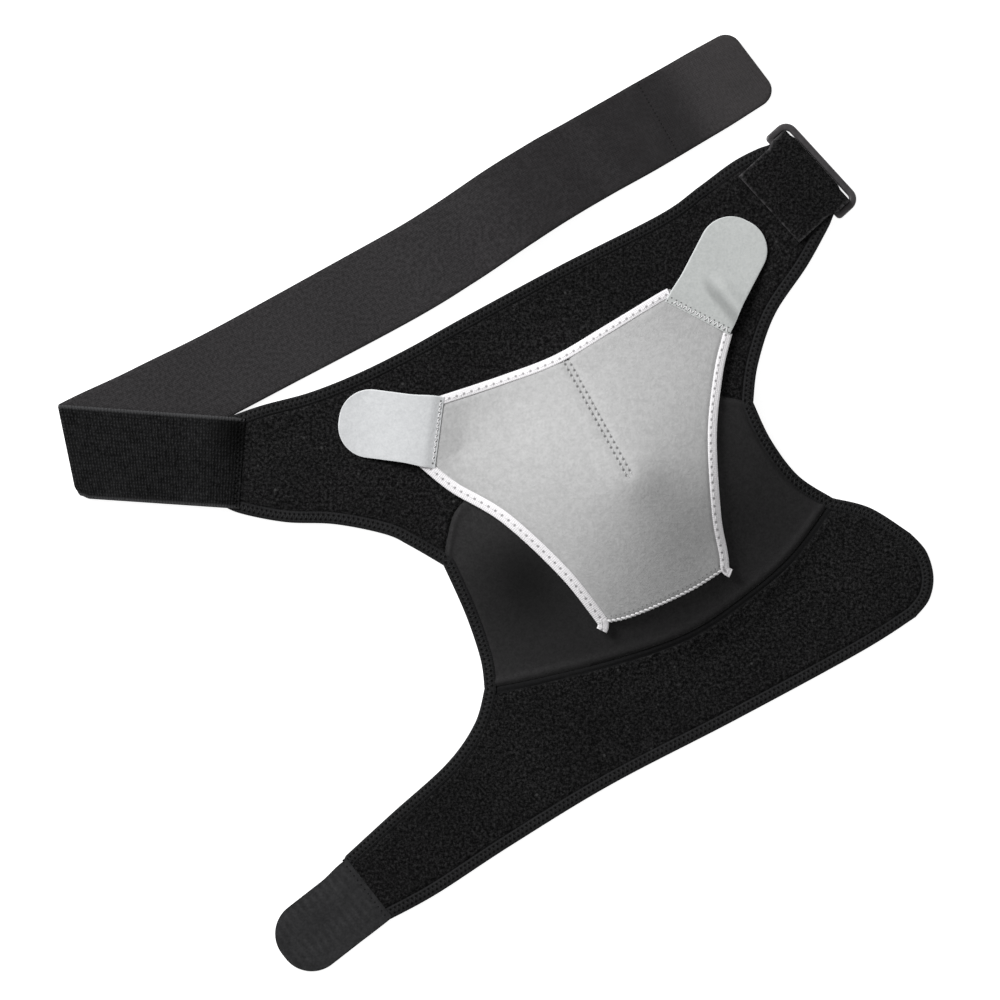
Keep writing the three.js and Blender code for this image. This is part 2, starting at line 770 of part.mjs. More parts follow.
// A rectangular path with round corners, from x at the left side, as a shape or a hole.
function roundedBox(target, left, right, half, radius) {
  target.moveTo(left + radius, -half);
  target.lineTo(right - radius, -half);
  target.absarc(right - radius, radius - half, radius, -Math.PI / 2, 0, false);
  target.lineTo(right, half - radius);
  target.absarc(right - radius, half - radius, radius, 0, Math.PI / 2, false);
  target.lineTo(left + radius, half);
  target.absarc(left + radius, half - radius, radius, Math.PI / 2, Math.PI, false);
  target.lineTo(left, radius - half);
  target.absarc(left + radius, radius - half, radius, Math.PI, 1.5 * Math.PI, false);
  return target;
}

// The ring, with the middle of its inner bar at the origin.
function strapRing() {
  const barHalf = ringBar / 2;
  const half = ringInside / 2;
  const shape = roundedBox(new THREE.Shape(), -barHalf, ringReach + barHalf, half + ringBar, ringCorner);
  const hole = roundedBox(new THREE.Path(), barHalf, ringReach - barHalf, half, ringCorner - ringBar);
  shape.holes.push(hole);
  const geometry = new THREE.ExtrudeGeometry(shape, {
    depth: ringThickness - 2 * ringBevel,
    bevelThickness: ringBevel,
    bevelSize: ringBevel,
    bevelOffset: -ringBevel,
    bevelSegments: 1,
    curveSegments: 3,
  });
  geometry.translate(0, 0, ringBevel - ringThickness / 2);
  return geometry;
}

// The pressure pad lies on the cap, with three bound edges and a plain lower one.
const onBand = (point) => lie(point) + bandThickness + padStandoff;
const onPad = (rows) => placed(rows, dome, padWidth, padHeight);
const padTopRun = stations(edgeCurve(onPad(padTop)), padTopCells);
const padRightRun = stations(edgeCurve(onPad(padRight)), padSideCells);
const padBottomRun = stations(edgeCurve(onPad(padBottom)), padTopCells);
const padLeftRun = stations(edgeCurve(onPad(padLeft)), padSideCells);
const padGrid = patch(
  padTopRun,
  padBottomRun,
  joined(straight(padTopRun[0], padLeftRun[0], padTabCells), padLeftRun),
  joined(straight(padTopRun.at(-1), padRightRun[0], padTabCells), padRightRun),
);
const padTopBinding = binding(backwards(padTopRun), padBindingWidth, padThickness, onBand);
const padLeftBinding = binding(padLeftRun, padBindingWidth, padThickness, onBand);
const padRightBinding = binding(backwards(padRightRun), padBindingWidth, padThickness, onBand);

function padTab(from, to, place) {
  const edge = new Frame(from.clone().lerp(to, 0.5), dome.degrees + place.turn);
  const frame = new Frame(edge.at(-tabOverlap, 0), edge.degrees);
  const length = tabOverlap + padTabLength * place.reach;
  return tab(frame, length, padTabWidth, padTabRoundness, (point, along) => {
    const down = smooth((along - 2 * tabOverlap) / tabDrop);
    return onBand(point) + (padThickness + padStandoff) * (1 - down);
  });
}

// The closing tab, sewn on the arm band's end and coming down to the table beyond it
function armTab() {
  const frame = new Frame(arm.origin, arm.degrees + armTabTurn);
  return tab(frame, armTabLength, armTabWidth, armTabRoundness, (point, along) => {
    const down = smooth((along - 2 * tabOverlap) / tabDrop);
    return (bandThickness + gap) * (1 - down);
  });
}

function piece(name, geometry, look) {
  const flat = geometry.index ? geometry.toNonIndexed() : geometry;
  flat.computeVertexNormals();
  const mesh = new THREE.Mesh(flat, new THREE.MeshStandardMaterial(look));
  mesh.name = name;
  return mesh;
}

const sideRooms = [leftBinding.room, rightBinding.room];
const seamRooms = [seamRoom(backwards(chestSeamRun)), seamRoom(armSeamRun)];
const padRooms = [padTopBinding.room, padLeftBinding.room, padRightBinding.room];
const chestBand = cut(drape(chestGrid, lie, bandThickness), topBinding.room, ...sideRooms, ringRoom);
const shoulderCap = cut(drape(capGrid, lie, capThickness), ...sideRooms, ...seamRooms);
const armBand = cut(drape(armGrid, lie, bandThickness), ...sideRooms);
const pressurePad = cut(drape(padGrid, onBand, padThickness), ...padRooms);

const brace = new THREE.Group();
brace.add(
  piece("chest_band", chestBand, loopPile),
  piece("shoulder_cap", shoulderCap, smoothNeoprene),
  piece("arm_band", armBand, loopPile),
  piece("binding_top", cut(topBinding.tape, ringRoom), edgeTape),
  piece("binding_left", leftBinding.tape, edgeTape),
  piece("binding_right", cut(rightBinding.tape, ringRoom), edgeTape),
  piece("elastic_strap", elasticStrap(), elasticWeb),
  piece("strap_hook_patch", strapHookPatch(), strapHook),
  piece("pressure_pad", pressurePad, padNeoprene),
  piece("pad_binding_top", padTopBinding.tape, padTape),
  piece("pad_binding_left", padLeftBinding.tape, padTape),
  piece("pad_binding_right", padRightBinding.tape, padTape),
  piece("pad_tab_left", padTab(padTopRun[0], padLeftRun[0], leftTab), padTabCloth),
  piece("pad_tab_right", padTab(padTopRun.at(-1), padRightRun[0], rightTab), padTabCloth),
  piece("arm_tab", armTab(), armHook),
);

const keeper = piece("strap_keeper", strapKeeper(), keeperPile);
keeper.position.set(ringPlace.origin.x, ringPlace.origin.y, 0);
keeper.rotation.z = THREE.MathUtils.degToRad(ringPlace.degrees);
brace.add(keeper);

// The ring hangs in the keeper's fold, with the lower edge of its outer bar on the table.
const edgeReach = ringReach + ringBar / 2 - ringBevel;
const edgeDistance = Math.hypot(edgeReach, ringThickness / 2);
const edgeSlope = Math.atan2(ringThickness / 2, edgeReach);
const ringDroop = Math.asin(ringAxisHeight / edgeDistance) - edgeSlope;
const ringPivot = new THREE.Group();
const ringAxis = ringPlace.at(ringAxisAlong, 0);
ringPivot.position.set(ringAxis.x, ringAxis.y, ringAxisHeight);
ringPivot.rotation.z = keeper.rotation.z;
const ring = piece("strap_ring", strapRing(), ringPlastic);
ring.rotation.y = ringDroop;
ringPivot.add(ring);

const shoulderBrace = new THREE.Group();
shoulderBrace.add(brace, ringPivot);

// The origin is under the middle of the whole, on the table.
const bounds = new THREE.Box3().setFromObject(shoulderBrace, true);
const middle = bounds.getCenter(new THREE.Vector3());
shoulderBrace.position.set(-middle.x, -middle.y, -bounds.min.z);

export default shoulderBrace;
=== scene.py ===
# Shoulder brace of sewn neoprene, lying flat. Lengths are millimetres until a mesh is made.
import math

import bpy
import numpy as np
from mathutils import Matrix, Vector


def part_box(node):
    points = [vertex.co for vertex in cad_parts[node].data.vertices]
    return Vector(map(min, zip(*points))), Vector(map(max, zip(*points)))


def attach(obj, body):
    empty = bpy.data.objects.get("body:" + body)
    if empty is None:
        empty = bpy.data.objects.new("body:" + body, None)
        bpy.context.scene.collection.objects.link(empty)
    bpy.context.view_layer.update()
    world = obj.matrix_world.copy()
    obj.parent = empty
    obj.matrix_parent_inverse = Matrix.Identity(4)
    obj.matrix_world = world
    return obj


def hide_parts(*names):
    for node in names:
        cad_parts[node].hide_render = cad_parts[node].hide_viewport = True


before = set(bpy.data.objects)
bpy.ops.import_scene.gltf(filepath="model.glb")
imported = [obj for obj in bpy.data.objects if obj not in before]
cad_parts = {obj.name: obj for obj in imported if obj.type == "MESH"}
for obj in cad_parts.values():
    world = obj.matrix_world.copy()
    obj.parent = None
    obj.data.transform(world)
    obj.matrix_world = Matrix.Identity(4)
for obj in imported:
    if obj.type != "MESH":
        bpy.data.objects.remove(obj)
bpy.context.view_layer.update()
print("frame loaded")


class Place:
    # An origin on the table with its own directions: along at the given degrees, across to its left
    def __init__(self, origin, degrees):
        turn = math.radians(degrees)
        self.origin = np.asarray(origin, float)
        self.degrees = degrees
        self.alongAxis = np.array([math.cos(turn), math.sin(turn)])
        self.acrossAxis = np.array([-math.sin(turn), math.cos(turn)])

    def at(self, along, across):
        # Origin plus along times the first axis plus across times the second
        along, across = np.asarray(along, float), np.asarray(across, float)
        return self.origin + along[..., None] * self.alongAxis + across[..., None] * self.acrossAxis

    def local(self, points):
        # Dot products of a point's offset with the two axes
        offset = points[..., :2] - self.origin
        return offset @ self.alongAxis, offset @ self.acrossAxis

    def scaled(self, rows, length, width):
        # Places from rows of shares of a length and a width
        rows = np.array(rows)
        return self.at(rows[:, 0] * length, rows[:, 1] * width)


def placeBetween(a, b):
    # The place at a whose first axis points to b
    step = np.asarray(b) - a
    return Place(a, math.degrees(math.atan2(step[1], step[0])))


def rise(share):
    # Smooth step: 3 t squared less 2 t cubed, with t held between 0 and 1
    t = np.clip(share, 0, 1)
    return t * t * (3 - 2 * t)


def mix(a, b, share):
    # Straight blend: a plus the share of the step from a to b
    return a + (b - a) * share


def lengthsAlong(run):
    # Length from a run's first station to each of its stations
    return np.concatenate([[0], np.cumsum(np.linalg.norm(np.diff(run, axis=0), axis=1))])


def evenRun(points, count, start=0.0, end=1.0):
    # Cubic through the points, whose slope at each is half the step between its neighbours,
    # then count + 1 stations spaced evenly by length
    p = np.asarray(points, float)
    a, b = p[:-1], p[1:]
    slopeIn = (b - np.vstack([p[:1], p[:-2]])) / 2
    slopeOut = (np.vstack([p[2:], p[-1:]]) - a) / 2
    t = np.linspace(0, 1, 80, endpoint=False)[None, :, None]  # 80 steps from one point to the next
    a, b, slopeIn, slopeOut = (x[:, None, :] for x in (a, b, slopeIn, slopeOut))
    dense = (
        (2 * a - 2 * b + slopeIn + slopeOut) * t**3
        + (-3 * a + 3 * b - 2 * slopeIn - slopeOut) * t**2
        + slopeIn * t
        + a
    ).reshape(-1, 2)
    dense = np.vstack([dense, p[-1:]])
    length = lengthsAlong(dense)
    wanted = length[-1] * np.linspace(start, end, count + 1)
    return np.stack([np.interp(wanted, length, dense[:, k]) for k in (0, 1)], axis=1)


def runLength(run):
    # Length from a run's first station to its last
    return float(lengthsAlong(run)[-1])


def straight(a, b, count):
    # Stations at equal shares of the line from a to b
    return mix(a, b, np.linspace(0, 1, count + 1)[:, None])


def joined(*runs):
    # Runs end to end, each without its first station, which the one before it has already
    return np.vstack([runs[0], *(run[1:] for run in runs[1:])])


def headings(run):
    # Unit directions of a run at its stations, and the unit normals to their left
    along = np.gradient(run, axis=0)
    along = along / np.linalg.norm(along, axis=1, keepdims=True)
    return along, np.stack([-along[:, 1], along[:, 0]], axis=1)


def stretched(top, bottom, left, right):
    # Surface between four edges: the two straight blends less the blend of the corners
    u = np.linspace(0, 1, len(top))[None, :, None]
    v = np.linspace(0, 1, len(left))[:, None, None]
    sides = mix(left[:, None], right[:, None], u)
    ends = mix(top[None], bottom[None], v)
    corners = mix(mix(top[0], top[-1], u), mix(bottom[0], bottom[-1], u), v)
    return sides + ends - corners


def nearest(points, run):
    # Distance from each point to the nearest station of a run, and that station's number, worked
    # out in parts of about four million distances
    flat = points.reshape(-1, 2)
    far, index = [], []
    for part in np.array_split(flat, max(1, len(flat) * len(run) // 4_000_000)):
        square = ((part[:, None, :] - run[None]) ** 2).sum(axis=2)
        index.append(square.argmin(axis=1))
        far.append(np.sqrt(square.min(axis=1)))
    shape = points.shape[:-1]
    return np.concatenate(far).reshape(shape), np.concatenate(index).reshape(shape)


def speckle(points, cell, seed):
    # Random heights from -1 to 1 on a lattice of cells, blended smoothly between its corners
    spot = (points[..., :2] - points[..., :2].reshape(-1, 2).min(axis=0)) / cell
    size = np.ceil(spot.reshape(-1, 2).max(axis=0)).astype(int) + 2
    lattice = np.random.default_rng(seed).uniform(-1, 1, size)
    corner = np.floor(spot).astype(int)
    t = rise(spot - corner)
    x, y = corner[..., 0], corner[..., 1]
    low = mix(lattice[x, y], lattice[x + 1, y], t[..., 0])
    high = mix(lattice[x, y + 1], lattice[x + 1, y + 1], t[..., 0])
    return mix(low, high, t[..., 1])


def rounding(fromEdge, reach):
    # How far a face lies below its level near an edge, as a share: one less a quarter circle
    return 1 - np.sqrt(1 - np.clip(1 - fromEdge / reach, 0, 1) ** 2)


def bell(distance, reach):
    # One at no distance, falling as the exponential of the square
    return np.exp(-((distance / reach) ** 2))


# The brace's plan, in millimetres and degrees
plan = {
    "chestLength": 358.0, "chestWidth": 100.0, "armLength": 357.0, "armWidth": 70.0,
    "armDrop": 249.0, "armShift": 30.0, "chestAngle": 26.0, "armTurn": 3.0,
    "domeHeight": 32.0, "domeLength": 116.0, "domeBreadth": 106.0,
    "domeAlong": 0.55, "domeAcross": -1.154,
    "ringTurn": 16.5, "strapTurn": 150.0, "returnTurn": 1.5, "bandThickness": 3.0, "gap": 0.3,
    "strapRamp": (2.0, 22.0), "keeperRamp": (3.0, 35.0),  # margin and length of each
}
strap = {
    "width": 50.0, "thickness": 1.7, "ribbedLength": 95.5, "returnLength": 436.0,
    "overlap": 11.0, "wave": 5.0, "corner": 9.0, "widening": 1.01, "foldSettling": 0.25,
    "patchLength": 62.0, "patchThickness": 1.2,
}
keeper = {"thickness": 1.6, "sewn": 25.0, "loop": 10.0}
ring = {
    "bar": 3.2, "shownBar": 4.1, "thickness": 2.8, "bevel": 0.8, "slot": 8.8,
    "outerCorner": 7.2, "innerCorner": 2.6, "slack": 1.2, "moreReach": 1.1, "moreWidth": 1.5,
    "sectionPower": 2.8, "aroundBar": 24, "inCorner": 10,
}

# Edges of the bands, the cap and the pad, in shares of each one's length and width
chestEdges = {
    "top": [(0.094, 0.187), (0.17, 0.135), (0.253, 0.113), (0.34, 0.116), (0.429, 0.134),
            (0.605, 0.16), (0.778, 0.171), (0.85, 0.213), (0.92, 0.258)],
    "strapSide": [(-0.01, -0.299), (0.047, -0.453), (0.115, -0.585), (0.178, -0.757),
                  (0.205, -0.877), (0.238, -1.053)],
    "chestSeam": [(0.238, -1.053), (0.263, -0.918), (0.299, -0.795), (0.381, -0.722),
                  (0.502, -0.718), (0.618, -0.754), (0.711, -0.83), (0.78, -0.994)],
    "ringSide": [(0.78, -0.994), (0.813, -0.817), (0.871, -0.608), (0.951, -0.439)],
}
armEdges = {
    "armLeft": [(-0.018, 0.313), (0.085, 0.44), (0.198, 0.575), (0.266, 0.744), (0.306, 0.949)],
    "armSeam": [(0.306, 0.949), (0.395, 0.805), (0.506, 0.656), (0.623, 0.559), (0.721, 0.591),
                (0.823, 0.7), (0.924, 0.933)],
    "armRight": [(0.924, 0.933), (0.968, 0.718), (1.003, 0.39)],
    "armTip": [(1.003, 0.39), (1.011, 0.204), (1.002, 0.003), (0.979, -0.141), (0.947, -0.212)],
    "armLower": [(-0.011, -0.285), (0.084, -0.292), (0.223, -0.241), (0.405, -0.203),
                 (0.624, -0.233), (0.845, -0.243), (0.947, -0.212)],
}
capEdges = {"capLeft": [(0.409, 0.042), (0.772, 0.043)], "capRight": [(0.317, 0.084), (0.678, 0.1)]}
padEdges = {
    "top": [(-0.387, 0.597), (-0.192, 0.566), (-0.028, 0.549), (0.147, 0.565), (0.334, 0.585),
            (0.367, 0.582)],
    "right": [(0.471, 0.344), (0.393, 0.234), (0.293, 0.048), (0.207, -0.192), (0.176, -0.325),
              (0.161, -0.374)],
    "bottom": [(-0.261, -0.352), (-0.163, -0.382), (0.022, -0.391), (0.161, -0.374)],
    "left": [(-0.531, 0.409), (-0.479, 0.279), (-0.383, 0.107), (-0.299, -0.149), (-0.261, -0.352)],
}
strapRun = np.array([  # shares of the returning leg's length and width: along, sway, width, lift
    (0, 0, 1.02, 0), (0.12, 0, 0.97, 0), (0.23, 0, 0.95, 0), (0.46, 0.03, 0.98, 0),
    (0.55, 0.075, 0.97, 0.3), (0.64, 0.16, 0.97, 1.1), (0.7, 0.205, 0.96, 0.75),
    (0.76, 0.23, 0.95, 0.1), (0.83, 0.25, 0.955, 0), (0.92, 0.285, 0.94, 0),
    (1, 0.325, 0.905, 0),
])

chest = Place((0, 0), plan["chestAngle"])
arm = Place(chest.at(-plan["armShift"], -plan["armDrop"]), plan["chestAngle"] + plan["armTurn"])
dome = Place(
    chest.at(plan["domeAlong"] * plan["chestLength"], plan["domeAcross"] * plan["chestWidth"]),
    plan["chestAngle"],
)
ringPlace = Place(chest.at(plan["chestLength"], 0), plan["chestAngle"] + plan["ringTurn"])
strapEnd = Place((0, 0), plan["chestAngle"] + plan["strapTurn"])
ribbed = Place(strapEnd.at(-strap["overlap"], 0), strapEnd.degrees)
foldDegrees = (strapEnd.degrees + plan["chestAngle"] + plan["returnTurn"]) / 2
returning = Place(ribbed.at(strap["ribbedLength"], 0), plan["chestAngle"] + plan["returnTurn"])

ringGirth = math.hypot(ring["bar"], ring["thickness"] - 2 * ring["bevel"])
keeperInside = max(plan["bandThickness"], ringGirth) + 2 * plan["gap"]
ringEndLift = keeper["thickness"] + (keeperInside - plan["bandThickness"]) / 2
ringAxisHeight = keeper["thickness"] + keeperInside / 2
ringAxisAlong = plan["gap"] + ring["bar"] / 2
ringReach = ring["slot"] + ring["bar"]


def risen(distance, margin, length):
    # Smooth step that begins at the margin and takes the length
    return rise((distance - margin) / length)


photo = {"middle": (496.5, 505.0), "scale": 0.5556}  # pixels, and millimetres for each

# Soft relief on the dome: a peak where the pad's dart ends, dips beyond it and beside the left tab
relief = [  # photo x, photo y, height, reach
    (633, 476, 4.4, 17), (716, 550, -4.5, 29), (463, 447, -1.6, 10), (527, 572, -2.4, 19),
]


def photoPlace(x, y):
    # A place on the plan from the photograph's pixels, seen straight from above
    middleX, middleY = photo["middle"]
    return np.array([(x - middleX) * photo["scale"], (middleY - y) * photo["scale"]]) - toRow


def lie(points):
    # Height of the panels' underside: a dome that fades as the square of one less the square of
    # the distance, with small bells of relief on it, and low ramps over the returning strap and
    # over the keeper's lower layer
    along, across = dome.local(points)
    far = (along / plan["domeLength"]) ** 2 + (across / plan["domeBreadth"]) ** 2
    bulge = plan["domeHeight"] * np.maximum(0, 1 - far) ** 2
    for x, y, height, reach in relief:
        bulge = bulge + height * bell(np.linalg.norm(points[..., :2] - photoPlace(x, y), axis=-1), reach)
    belowStrap = -returning.local(points)[1] - strap["width"] / 2
    fromKeeper = -keeper["sewn"] - ringPlace.local(points)[0]
    overStrap = (strap["thickness"] + plan["gap"]) * (1 - risen(belowStrap, *plan["strapRamp"]))
    overKeeper = ringEndLift * (1 - risen(fromKeeper, *plan["keeperRamp"]))
    return np.maximum(bulge, 0) + np.maximum(overStrap, overKeeper)


# The keeper is a plain rectangle on the table, so its box in the frame gives the plan's place
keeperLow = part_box("strap_keeper")[0]
keeperCorners = ringPlace.at(
    np.array([-keeper["sewn"], keeper["loop"]]).repeat(2), np.tile([-1, 1], 2) * strap["width"] / 2
)
toRow = np.array([keeperLow.x * 1000, keeperLow.y * 1000]) - keeperCorners.min(axis=0)
print("plan placed at", toRow.round(3))


def addMesh(name, points, faces, body="brace", maps=None, values=None, sharp=50):
    # points in millimetres on the plan; faces is a list of whole-number arrays, one row for each
    # face; maps and values are per point, the maps in millimetres too
    mesh = bpy.data.meshes.new(name)
    place = np.array(points, float)
    place[:, :2] += toRow
    mesh.vertices.add(len(place))
    mesh.vertices.foreach_set("co", (place / 1000).ravel())
    corners = np.concatenate([f.ravel() for f in faces])
    counts = np.concatenate([np.full(len(f), f.shape[1]) for f in faces])
    mesh.loops.add(len(corners))
    mesh.loops.foreach_set("vertex_index", corners.astype(np.int32))
    mesh.polygons.add(len(counts))
    starts = np.concatenate([[0], np.cumsum(counts)[:-1]])
    mesh.polygons.foreach_set("loop_start", starts.astype(np.int32))
    mesh.update(calc_edges=True)
    for key, value in (maps or {}).items():
        layer = mesh.uv_layers.new(name=key)
        layer.data.foreach_set("uv", (np.asarray(value)[corners] / 1000).ravel())
    for key, value in (values or {}).items():
        attribute = mesh.attributes.new(key, "FLOAT", "POINT")
        attribute.data.foreach_set("value", np.asarray(value, np.float32).ravel())
    mesh.validate()
    mesh.polygons.foreach_set("use_smooth", np.ones(len(mesh.polygons), bool))
    mesh.set_sharp_from_angle(angle=math.radians(sharp))
    piece = bpy.data.objects.new(name, mesh)
    bpy.context.scene.collection.objects.link(piece)
    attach(piece, body)
    return piece


def quads(rows, columns, first=0):
    # Corner numbers of each cell of a grid: its own, the next, the one below that, the one below
    a = first + np.arange(rows - 1)[:, None] * columns + np.arange(columns - 1)[None]
    return np.stack([a, a + 1, a + columns + 1, a + columns], axis=-1).reshape(-1, 4)


def slab(under, over):
    # Two grids of points joined round their rim, with the faces turned outwards by the sign of the
    # volume. Faces come in three sets: over, under, rim
    rows, columns = under.shape[:2]
    count = rows * columns
    points = np.vstack([under.reshape(-1, 3), over.reshape(-1, 3)])
    upper = quads(rows, columns, count)
    lower = quads(rows, columns)[:, ::-1]
    grid = np.arange(count).reshape(rows, columns)
    border = np.concatenate([grid[0], grid[1:, -1], grid[-1, -2::-1], grid[-2:0:-1, 0]])
    onward = np.roll(border, -1)
    rim = np.stack([onward, border, border + count, onward + count], axis=1)[:, ::-1]
    everything = np.vstack([upper, lower, rim])
    a, b, c, d = (points[everything[:, k]] for k in range(4))
    volume = (np.cross(a, b) * c + np.cross(a, c) * d).sum()
    faces = [upper, lower, rim]
    return points, [f[:, ::-1] if volume < 0 else f for f in faces]


def raised(places, height):
    # Plan places with their height as the third number
    return np.concatenate([places, np.broadcast_to(height, places.shape[:-1])[..., None]], axis=-1)


def sheetMesh(name, under, over, maps, values=None, sharp=50):
    # A slab as a piece. Each map is two grids of millimetres and each value one grid; they are
    # written twice, for the slab's two faces
    def twice(grid):
        return np.tile(np.broadcast_to(grid, over.shape[:2]).ravel(), 2)

    points, faces = slab(under, over)
    maps = {key: np.stack([twice(u), twice(v)], axis=1) for key, (u, v) in maps.items()}
    values = {key: twice(value) for key, value in (values or {}).items()}
    return addMesh(name, points, faces, maps=maps, values=values, sharp=sharp)


def setFinish(piece, material, slotName, *nodes):
    # The piece's finish in a new colour slot, and the nodes whose place it takes. The slot name is not used
    piece.data.materials.append(material)
    if nodes:
        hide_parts(*nodes)


def alongRun(run, distances, inset):
    # Places at distances along a run, moved inward to its left
    length, left = lengthsAlong(run), headings(run)[1]
    spot = np.stack([np.interp(distances, length, run[:, k]) for k in (0, 1)], axis=1)
    side = np.stack([np.interp(distances, length, left[:, k]) for k in (0, 1)], axis=1)
    return spot + side * np.broadcast_to(inset, distances.shape)[:, None]


threadRings = {"share": [0, 0.14, 0.5, 0.86, 1], "girth": [0.4, 0.88, 1, 0.88, 0.4]}


def threads(name, starts, ends, radius, bow, finish, slotName, sides=6):
    # Many short threads in one mesh: each is a tube of five rings from start to end, whose rings
    # shrink at both ends and rise by a half sine of the bow
    share = np.array(threadRings["share"])[None, :, None]
    girth = radius * np.array(threadRings["girth"])
    starts, ends = starts[:, None], ends[:, None]
    centre = mix(starts, ends, share)
    centre[..., 2] += (bow * np.sin(math.pi * share))[..., 0]
    along = (ends - starts) / np.linalg.norm(ends - starts, axis=-1, keepdims=True)
    side = np.cross(along, [0, 0, 1.0])
    side = side / np.linalg.norm(side, axis=-1, keepdims=True)
    up = np.cross(side, along)
    turn = np.linspace(0, 2 * math.pi, sides, endpoint=False)
    out = np.cos(turn)[:, None] * side[:, :, None] + np.sin(turn)[:, None] * up[:, :, None]
    points = centre[:, :, None] + out * girth[:, None, None]
    count, rows = points.shape[:2]
    number = np.arange(points[..., 0].size).reshape(count, rows, sides)
    onward = np.roll(number, -1, axis=2)
    walls = np.stack([number[:, :-1], onward[:, :-1], onward[:, 1:], number[:, 1:]], axis=-1)
    walls = walls.reshape(-1, 4)
    caps = np.concatenate([number[:, 0, ::-1], number[:, -1]])
    flat = points.reshape(-1, 3)
    a, b, c = (flat[walls[:, k]] for k in (0, 1, 2))
    middle = np.repeat(centre.mean(axis=1), (rows - 1) * sides, axis=0)
    inwards = (np.cross(b - a, c - a) * (a - middle)).sum() < 0
    faces = [f[:, ::-1] if inwards else f for f in (walls, caps)]
    setFinish(addMesh(name, flat, faces, sharp=180), finishes[finish], slotName)


def zigzag(name, near, far, again, radius, bow, finish, slotName):
    # Threads out from each place near to the one far, and on to the one near again
    threads(name, np.vstack([near, far]), np.vstack([far, again]), radius, bow, finish, slotName)


def newGroup(name, results, vector=True, **inputs):
    # An empty node group with a vector to read, number inputs at their usual values and number
    # outputs; gives its tree and the sockets at its two inner ends
    group = bpy.data.node_groups.new(name, "ShaderNodeTree")
    if vector:
        group.interface.new_socket("Vector", in_out="INPUT", socket_type="NodeSocketVector")
    for label, value in inputs.items():
        socket = group.interface.new_socket(label, in_out="INPUT", socket_type="NodeSocketFloat")
        socket.default_value = value
    for label in results:
        group.interface.new_socket(label, in_out="OUTPUT", socket_type="NodeSocketFloat")
    start, end = group.nodes.new("NodeGroupInput"), group.nodes.new("NodeGroupOutput")
    return group, start.outputs, end.inputs


def wire(tree, source, target):
    # Links an output socket, or sets a plain value, on an input socket
    if isinstance(source, bpy.types.NodeSocket):
        tree.links.new(source, target)
    else:
        target.default_value = source


def calc(tree, operation, *terms):
    # One arithmetic node on sockets or plain numbers
    node = tree.nodes.new("ShaderNodeMath")
    node.operation = operation
    for term, socket in zip(terms, node.inputs):
        wire(tree, term, socket)
    return node.outputs[0]


def weighted(tree, *pairs):
    # Sum of sockets, each times its own weight
    total = 0.0
    for socket, weight in pairs:
        total = calc(tree, "MULTIPLY_ADD", socket, weight, total)
    return total


def wave(tree, turns):
    # Sine with one wave for each whole turn
    return calc(tree, "SINE", calc(tree, "MULTIPLY", turns, 2 * math.pi))


def noise(tree, vector, scale, detail=2.0, roughness=0.5):
    # Smooth noise with scale cells per metre, about one half on average
    node = tree.nodes.new("ShaderNodeTexNoise")
    wire(tree, vector, node.inputs["Vector"])
    wire(tree, scale, node.inputs["Scale"])
    node.inputs["Detail"].default_value = detail
    node.inputs["Roughness"].default_value = roughness
    return node.outputs["Fac"]


def between(tree, value, low, high, to=(0.0, 1.0)):
    # Straight map of a value from low..high to the given range, held at its ends
    node = tree.nodes.new("ShaderNodeMapRange")
    for socket, term in zip(node.inputs[:5], (value, low, high, *to)):
        wire(tree, term, socket)
    return node.outputs[0]


def separated(tree, vector):
    # A vector's first two numbers
    node = tree.nodes.new("ShaderNodeSeparateXYZ")
    wire(tree, vector, node.inputs[0])
    return node.outputs["X"], node.outputs["Y"]


def makePileGroup():
    # Brushed loops: two sizes of noise added, then spread from their middle third to dark roots
    # and bright tips
    tree, given, result = newGroup("loopPile", ("Tips", "Height"), Loops=520.0)
    coarse = noise(tree, given["Vector"], given["Loops"], 2.0, 0.6)
    fine = noise(tree, given["Vector"], calc(tree, "MULTIPLY", given["Loops"], 2.3), 2.0)
    both = weighted(tree, (coarse, 0.6), (fine, 0.4))
    wire(tree, calc(tree, "POWER", between(tree, both, 0.38, 0.66), 1.6), result["Tips"])
    wire(tree, both, result["Height"])
    return tree


def makeKnitGroup():
    # Fine knit: the product of a sine across the cloth and a sine along it, mixed with two sizes
    # of noise that are spread from their middle third to the full range
    tree, given, result = newGroup("knitFace", ("Shade",), Stitches=900.0, Broken=0.6)
    waves = [wave(tree, calc(tree, "MULTIPLY", part, given["Stitches"]))
             for part in separated(tree, given["Vector"])]
    even = calc(tree, "MULTIPLY_ADD", calc(tree, "MULTIPLY", *waves), 0.5, 0.5)
    grain = noise(tree, given["Vector"], given["Stitches"], 2.0, 0.6)
    heather = noise(tree, given["Vector"], calc(tree, "MULTIPLY", given["Stitches"], 0.4), 2.0, 0.6)
    both = between(tree, weighted(tree, (grain, 0.55), (heather, 0.45)), 0.36, 0.64)
    node = tree.nodes.new("ShaderNodeMix")
    for number, term in ((0, given["Broken"]), (2, even), (3, both)):
        wire(tree, term, node.inputs[number])
    wire(tree, node.outputs[0], result["Shade"])
    return tree


